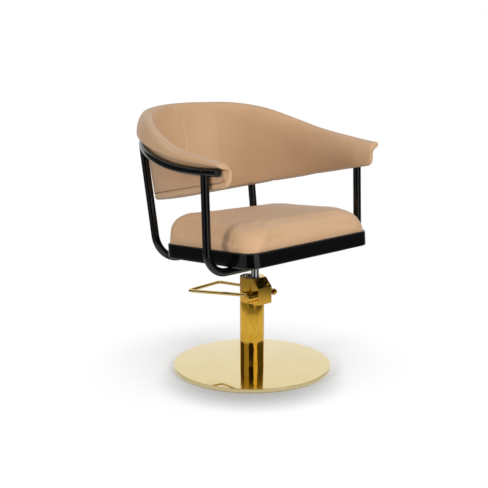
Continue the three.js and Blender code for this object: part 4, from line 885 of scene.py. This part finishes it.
def pad_controls(s):
    """The pad's section as control values of n and z, from the hem up outside, over the roll and down."""
    one = np.ones_like(s.x)
    face = STEM_FACE - s.hem_in
    under = TUBE_RADIUS + SHELL_CLEAR
    aslant = under * 0.74
    lip_z = s.rail_z + under + LIP_ROUND + s.lift
    low, high = s.hem_z + STITCH_INSET, s.rail_z + PANEL_HEAD
    face_at = lambda z: s.outer_face(z[:, None])[:, 0] - PANEL_THICK - GAP
    pairs = [
        (face - s.stem + HEM_ROUND, s.hem_z + HEM_TUCK),
        (face - HEM_ROUND, s.hem_z),
        (face - HEM_ROUND * 0.3, s.hem_z + HEM_ROUND * 0.3),
        (s.outer_face((low - 2)[:, None])[:, 0], low - 2),
        (face_at(low + 1.5), low + 1.5),
        (face_at(low * 0.5 + high * 0.5), low * 0.5 + high * 0.5),
        (face_at(high), high),
        (STEM_FACE * one, high + 2),
        (-aslant * one, s.rail_z + aslant),
        (0 * one, s.rail_z + under + s.lift),
        (aslant * one, s.rail_z + under + s.lift + LIP_ROUND * 0.12),
        (s.lip_out - LIP_ROUND * 0.1, s.rail_z + under + s.lift + LIP_ROUND * 0.5),
    ]
    for share in (0, 0.34, 0.68, 1):
        outward, upward = (abs(f(share * np.pi / 2)) ** 1.12 for f in (np.cos, np.sin))
        pairs.append((-s.crest_in + (s.lip_out + s.crest_in) * outward, lip_z + (s.crest_z - lip_z) * upward))
    pairs.append((-s.crest_in - CREST_ROUND * 0.55, s.crest_z - CREST_ROUND * 0.14))
    top = (-s.crest_in - CREST_ROUND, s.crest_z - CREST_ROUND * 0.5)
    bottom = (face - s.stem, s.hem_z + HEM_TUCK + HEM_ROUND)
    for share in (0, 0.15, 0.35, 0.6, 0.82, 1):
        inward = 1 - (1 - share) ** 2
        pairs.append((top[0] + (bottom[0] - top[0]) * inward, top[1] + (bottom[1] - top[1]) * share))
    pairs.append((bottom[0] + HEM_ROUND * 0.3, s.hem_z + HEM_TUCK + HEM_ROUND * 0.3))
    return (np.stack(values, -1) for values in zip(*pairs))


def smooth_loop(values, steps=3):
    """A closed row of control values a, b, c, d refined by a cubic that passes through them.

    Between b and c it is half of 2b + (c - a) t + (2a - 5b + 4c - d) t^2 + (3b - a - 3c + d) t^3.
    """
    a, b, c, d = (np.roll(values, k, 1)[..., None] for k in (1, 0, -1, -2))
    t = np.arange(steps) / steps
    fine = 2 * b + (c - a) * t + (2 * a - 5 * b + 4 * c - d) * t**2 + (3 * b - a - 3 * c + d) * t**3
    return fine.reshape(len(values), -1) / 2


def pad_form():
    """The pad: smooth closed sections round the plan, drawn in to a rounded tip at each arm's end."""
    tip = END_ROUND * (1 - np.cos(np.linspace(0, np.pi / 2, 9)))
    half = shell_plan.length / 2
    arm = np.r_[tip, np.arange(END_ROUND + 3, half, 5.0)]
    s = Station(np.r_[arm, half, (shell_plan.length - arm)[::-1]])
    n, z = (smooth_loop(v) for v in pad_controls(s))
    near = np.minimum(s.from_end / END_ROUND, 1)
    keep = (END_TIP + (1 - END_TIP) * np.sqrt(1 - (1 - near) ** 2))[:, None]
    anchor_z = np.clip(z, (s.hem_z + s.stem / 2)[:, None], (s.crest_z - CREST_ROUND)[:, None])
    share = smoothstep((anchor_z - s.rail_z[:, None]) / (s.crest_z - CREST_ROUND - s.rail_z)[:, None])
    middle = (STEM_FACE - s.hem_in / 2 - s.stem / 2)[:, None]
    anchor_n = middle + (-s.crest_in[:, None] - CREST_ROUND * 0.2 - middle) * share
    points = s.point(anchor_n + (n - anchor_n) * keep, anchor_z + (z - anchor_z) * keep)
    return leaned(closed_skin(points))


def panel_low(s):
    """The panel's lower edge: a constant height over the hem, with a rounded corner at each arm's end."""
    along = np.clip(PANEL_CORNER - (s.from_end - PANEL_FRONT), 0, PANEL_CORNER)
    return s.hem_z + STITCH_INSET + PANEL_CORNER - np.sqrt(PANEL_CORNER**2 - along**2)


def panel_form():
    """The outer panel: rows from its lower edge to the rail, sunk along the stitches and swelled between.

    Its outward offset is PANEL_SWELL sin(pi v) + GAP, less PANEL_EDGE exp(-2 d) and a groove of
    GROOVE_DEPTH exp(-((d - THREAD_INSET) / GROOVE_WIDTH)^2), where v is the height share and d the distance
    from the nearer edge. The inner rows lie PANEL_THICK inside the outer face.
    """
    half = shell_plan.length / 2
    fine = np.array([0, 0.4, 1, 1.8, 2.4, 3, 3.6, 4.2, 5, 6, 8])
    fine_end, fine_share = fine[-1], 0.12
    near = PANEL_FRONT + np.r_[fine, 10, 13, 16, 19]
    arm = np.r_[near, np.arange(near[-1] + 4, half, 5.0)]
    s = Station(np.r_[arm, half, (shell_plan.length - arm)[::-1]])
    low, high = panel_low(s)[:, None], (s.rail_z + PANEL_HEAD - GAP)[:, None]
    span = np.maximum(high - low, 1)
    shares = np.r_[fine / fine_end * fine_share, np.linspace(0.16, 1, 22)]
    above = fine_end + (span - fine_end) * (shares - fine_share) / (1 - fine_share)
    rise = np.where(shares <= fine_share, shares / fine_share * fine_end, above)
    z = low + np.minimum(rise, span)
    from_edge = np.minimum(z - low, (s.from_end - PANEL_FRONT)[:, None])
    groove = np.exp(-(((from_edge - THREAD_INSET) / GROOVE_WIDTH) ** 2)) * GROOVE_DEPTH
    edge = PANEL_EDGE * np.exp(-from_edge / 0.5)
    n = s.outer_face(z) + PANEL_SWELL * np.sin(np.pi * (z - low) / span) - groove - edge + GAP
    outer = s.point(n, z)
    inner = s.point(s.outer_face(z) - PANEL_THICK, z)
    return leaned(closed_skin(np.concatenate([outer, inner[:, ::-1]], 1)))


def stitch_line():
    """Where the thread runs on the panel: down each front edge, round its corner and along the lower edge."""
    half = shell_plan.length / 2
    start = PANEL_FRONT + THREAD_INSET
    rail_end = rail_height(half - start)
    low = float(Station(np.array([start + PANEL_CORNER])).hem_z[0]) + STITCH_INSET + THREAD_INSET
    down = np.linspace(rail_end - 2, low + PANEL_CORNER, 30)
    a = np.linspace(0, np.pi / 2, 20)[1:]
    radius, step = PANEL_CORNER - THREAD_INSET, 4.0
    corner = start + radius * (1 - np.cos(a))
    s = Station(np.r_[0 * down + start, corner, np.arange(start + radius + step, half, step)])
    z = s.hem_z + STITCH_INSET + THREAD_INSET
    z[: len(down)] = down
    z[len(down) :][: len(a)] += radius * (1 - np.sin(a))
    n = s.outer_face(z[:, None])[:, 0] + 0.1
    left = np.stack([s.x + s.out[:, 0] * n, s.y + s.out[:, 1] * n, z], -1)
    return np.vstack([left, left[::-1] * (-1, 1, 1)]), np.vstack([s.out, s.out[::-1] * (-1, 1)])


def thread_row(line, outward, pitch, length, radius):
    """Stitches along a line at an even pitch: each a small capsule laid along it, pressed into the leather.

    The capsule's rings are r_k (cos a side + 0.8 sin a out) at t_k along, and every stitch is that form
    turned into its own frame of along, side and out.
    """
    reach = np.r_[0, np.cumsum(np.linalg.norm(np.diff(line, axis=0), axis=1))]
    middles = np.arange(pitch, reach[-1] - pitch / 2, pitch)
    sample = lambda v, at: np.stack([np.interp(at, reach, v[:, k]) for k in range(v.shape[1])], -1)
    along = unit(sample(line, middles + 1) - sample(line, middles - 1))
    out = unit(np.pad(sample(outward, middles), ((0, 0), (0, 1))))
    side = unit(np.cross(along, out))
    out = np.cross(side, along)
    t = np.array([-0.5, -0.42, -0.2, 0.2, 0.42, 0.5]) * length
    r = np.array([0.02, 0.6, 1, 1, 0.6, 0.02]) * radius
    a = np.linspace(0, TAU, 8, endpoint=False)
    t, r = t[:, None], r[:, None]
    form, faces = skin(np.stack([t + 0 * a, r * np.cos(a), r * np.sin(a) * 0.8], -1))
    frames = np.stack([along, side, out], 1)
    points = sample(line, middles)[:, None] + form[None] @ frames
    steps = np.arange(len(middles))[:, None, None] * len(form)
    return leaned((points.reshape(-1, 3), (faces[None] + steps).reshape(-1, 4)))


# Making and dressing the pieces

for name, shape, body, slot, finish, node in [
    ("disc_plate", disc_plate(), "base", "mirror_gold", PALE_LIT_GOLD, "base_disc"),
    ("column_sleeve", column_sleeve(), "base", "mirror_gold", COLUMN_GOLD, "column_tube"),
    ("cap_plate", cap_plate(), "base", "mirror_gold", PALE_LIT_GOLD, "column_cap"),
    ("rod_seal", seal_ring(), "base", "rubber", RUBBER, "rod_gland"),
    ("chrome_rod", rod(), "lift", "chrome", CHROME, "piston_rod"),
    ("pedal_rod", pedal_rod(), "pedal", "mirror_gold", PEDAL_GOLD, "pedal_loop"),
    ("clamp_collar", joined(*clamp_collar()), "pedal", "mirror_gold", HEAD_GOLD, "pedal_collar"),
    ("end_piece", end_piece(), "pedal", "mirror_gold", HEAD_GOLD, "pedal_knob"),
    ("axle_pin", axle_pin(), "pedal", "steel", STEEL, "pedal_axle"),
    ("tray_pan", tray_pan(), "seat", "gloss_black", BLACK, "seat_tray"),
    ("front_tube", front_hoop_tube(), "seat", "gloss_black", BLACK, "front_hoop"),
    ("rear_tube", rear_hoop_tube(), "seat", "gloss_black", BLACK, "rear_hoop"),
    ("rail_tube", rail_tube(), "seat", "gloss_black", BLACK, "back_rail"),
]:
    dress(mesh_object(name, shape), body, finish, [node])

head = dress(mesh_object("head_casting", head_casting(), 25), "base", HEAD_GOLD, ["pump_head"])
bevel(head, 1.0)
for k, shape in enumerate(feet(), 1):
    dress(mesh_object(f"foot_pad_{k}", shape), "base", RUBBER, [f"base_foot_{k}"])
for k, shape in enumerate(rail_caps(), 1):
    dress(mesh_object(f"rail_cap_{k}", shape), "seat", PLASTIC, [f"rail_plug_{k}"])
for k, shape in enumerate(screw_caps(), 1):
    dress(mesh_object(f"screw_cap_{k}", shape), "seat", BLACK)

for k in (1, 2):
    bar, saddle = f"seat_bar_{k}", f"hoop_saddle_{k}"
    dress(softened_copy(bar, f"bar_{k}", 1.2), "seat", BLACK, [bar])
    dress(softened_copy(saddle, f"saddle_{k}", 0.6), "seat", BLACK, [saddle])
dress(softened_copy("hub_plate", "mounting_plate", 0.8), "seat", STEEL, ["hub_plate"])

cushion = mesh_object("cushion", cushion_form(), 180)
voxelled(cushion, CUSHION_VOXEL)
puffed(cushion, CUSHION_AIR, CUSHION_SWELL, held_in_tray(read_points(cushion.data)))
subdivided(cushion)
dress(cushion, "seat", LEATHER, ["seat_cushion"])

pad = mesh_object("back_and_arm_pad", pad_form(), 180)
puffed(pad, PAD_AIR, PAD_SWELL, np.zeros(len(pad.data.vertices)))
subdivided(pad)
dress(pad, "seat", LEATHER, ["shell_pad"])

panel = mesh_object("outer_panel", panel_form(), 50)
dress(panel, "seat", PANEL_LEATHER, ["shell_panel"])
thread = thread_row(*stitch_line(), STITCH_PITCH, STITCH_LENGTH, STITCH_RADIUS)
stitches = mesh_object("panel_stitches", thread, 60)
dress(stitches, "seat", THREAD)

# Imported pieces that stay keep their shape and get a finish

finishes = {"mirror_gold": HEAD_GOLD, "gloss_black": BLACK, "leather": LEATHER, "chrome": CHROME}
finishes |= {"steel": STEEL, "rubber": RUBBER, "bronze": BRONZE, "plywood": PLYWOOD}
slots = {part["node"]: part["material_slot"] for part in frame["record"]["subparts"]}
for name, node in frame["nodes"].items():
    node.data.materials.clear()
    node.data.materials.append(finishes[slots[name]])

# Studio

WORLD_LIGHT, OVERHEAD_TONE = 0.42, 0.9
# The floor's tone, the glow that whitens it to the camera, the grey of the painted shadow by the base, and
# its tone to bounced light
FLOOR_TONE, FLOOR_GLOW, PAINTED_SHADOW_TONE, FLOOR_BOUNCE = 0.9, 0.28, 0.6, 0.5
# The floor as polished metal shows it, a glow of painted light and shade: its tone near and far, how much
# darker its painted shade is on the right, and the share of the room's own tone that its far part takes
NEAR_FLOOR, FAR_FLOOR, PAINTED_RIGHT_SHADE, ROOM_SHARE = 0.72, 0.27, 0.15, 0.8
# The room as polished metal shows it: each band's start and end in degrees from the front side, and its tone
ROOM_BANDS = [(17, 52, 1.0), (52, 140, 0.1), (-31, 17, 0.02), (-80, -31, 0.42), (-140, -80, 0.08)]
BAND_SOFTNESS, BACK_START, BACK_FULL = 2, 135, 145
FRONT_SIDE, RIGHT_SIDE = (-0.674, -0.738), (0.738, -0.674)
# The painted shadow by the base: its shift to the front side in metres, and the squared distance where it
# ends
PAINTED_SHADOW_SHIFT, PAINTED_SHADOW_END = 0.12, 0.11
CAMERA_PLACE, CAMERA_TARGET = (-2.48709, -2.72354, 1.26611), (-0.01966, 0.01770, 0.42030)
CAMERA_LENS, CAMERA_SENSOR = 85.84, 36


def facing(made, place, target):
    """Puts a lamp or the camera at a place, looking at a target."""
    made.location = place
    made.rotation_euler = (Vector(target) - Vector(place)).to_track_quat("-Z", "Y").to_euler()


def lamp(name, place, target, size, watts):
    """A rectangular soft lamp that faces a point. Polished surfaces show the room in its place."""
    light = bpy.data.lights.new(name, "AREA")
    light.shape, light.size, light.size_y = "RECTANGLE", *size
    light.energy = watts
    made = in_scene(name, light)
    facing(made, place, target)
    made.visible_glossy = False


def toward(side, x, y):
    """How far a point lies to a side of the room."""
    return x * side[0] + y * side[1]


def room_tone(x, y):
    """The tone of the room in a direction: each band from its start to its end, and white round the back."""
    turn = toward(RIGHT_SIDE, x, y).angle_from(toward(FRONT_SIDE, x, y))
    past = lambda edge: turn.above(*np.radians((edge - BAND_SOFTNESS, edge + BAND_SOFTNESS)))
    tone = turn.size().above(*np.radians((BACK_START, BACK_FULL)))
    for start, end, brightness in ROOM_BANDS:
        tone = tone + past(start) * (1 - past(end)) * brightness
    return tone


def studio_world():
    """The room: even soft light, white to the camera, and bands of tone that only polished surfaces show."""
    world = bpy.data.worlds.new("studio")
    bpy.context.scene.world = world
    sky = Finish(world)
    to_camera, to_gloss = sky.rays()
    x, y, z = sky.axes(sky.add("ShaderNodeTexCoord", {}, {}, "Generated"))
    overhead = z.above(0.35, 0.65)
    shown = room_tone(x, y) * (1 - overhead) + overhead * OVERHEAD_TONE
    strength = to_camera + (1 - to_camera) * (to_gloss * shown + (1 - to_gloss) * WORLD_LIGHT)
    backdrop = sky.add("ShaderNodeBackground", {}, {"Color": (1, 1, 1, 1), "Strength": strength})
    sky.add("ShaderNodeOutputWorld", {}, {"Surface": backdrop})


def studio_floor():
    """The floor: a painted shadow by the base, white further out to the camera, and a fading painted glow to
    mirror metal.
    """
    floor = new_finish("white studio floor")
    to_camera, to_gloss = floor.rays()
    x, y, _ = floor.axes()
    out = (x * x + y * y) ** 0.5
    glow = lambda strength: floor.add("ShaderNodeEmission", {}, {"Color": (1, 1, 1, 1), "Strength": strength})
    matt = lambda tone: floor.add("ShaderNodeBsdfDiffuse", {}, {"Color": (tone, tone, tone, 1)})
    mix = lambda share, first, second: floor.add("ShaderNodeMixShader", {}, {0: share, 1: first, 2: second})
    shift_x, shift_y = (side * PAINTED_SHADOW_SHIFT for side in FRONT_SIDE)
    # A painted shadow: close to the base, shifted to the front side, the camera sees a darker grey floor
    painted_shadow = 1 - ((x - shift_x) ** 2 + (y - shift_y) ** 2).above(0.0, PAINTED_SHADOW_END)
    near = floor.add("ShaderNodeAddShader", {}, {0: matt(FLOOR_TONE), 1: glow(FLOOR_GLOW)})
    seen = mix(painted_shadow, mix(out.above(0.27, 0.6), near, glow(1.0)), matt(PAINTED_SHADOW_TONE))
    # Painted light and shade for mirror metal: the floor glows brighter near the base, dimmer further out and
    # darker on the right, and far off takes the room's bands
    far = out.above(1.25, 1.7)
    right_painted_shade = toward(RIGHT_SIDE, x, y).above(0.5, 0.9) * PAINTED_RIGHT_SHADE
    near_tone = NEAR_FLOOR - out.above(0.8, 1.15) * (NEAR_FLOOR - FAR_FLOOR + right_painted_shade)
    painted_floor_glow = near_tone * (1 - far) + room_tone(x, y) * far * ROOM_SHARE
    shown = mix(to_gloss, matt(FLOOR_BOUNCE), glow(painted_floor_glow))
    floor.add("ShaderNodeOutputMaterial", {}, {"Surface": mix(to_camera, shown, seen)})
    return floor.owner


lamp("tall front lamp", (-0.42, -3.2, 1.4), (0, 0, 0.6), (1.5, 2.6), 76)
lamp("overhead lamp", (0.3, -0.6, 3.3), (0, 0, 0.4), (2.6, 2.6), 10)
lamp("left lamp", (-3.2, 0.0, 0.92), (0, 0, 0.65), (0.5, 0.45), 38)
studio_world()

floor_mesh = bpy.data.meshes.new("floor")
floor_mesh.from_pydata([(-9, -9, 0), (9, -9, 0), (9, 9, 0), (-9, 9, 0)], [], [(0, 1, 2, 3)])
floor_mesh.materials.append(studio_floor())
in_scene("floor", floor_mesh)

camera_data = bpy.data.cameras.new("camera")
camera_data.lens, camera_data.sensor_width = CAMERA_LENS, CAMERA_SENSOR
camera = in_scene("camera", camera_data)
facing(camera, CAMERA_PLACE, CAMERA_TARGET)
bpy.context.scene.camera = camera
bpy.context.scene.view_settings.view_transform = "Standard"
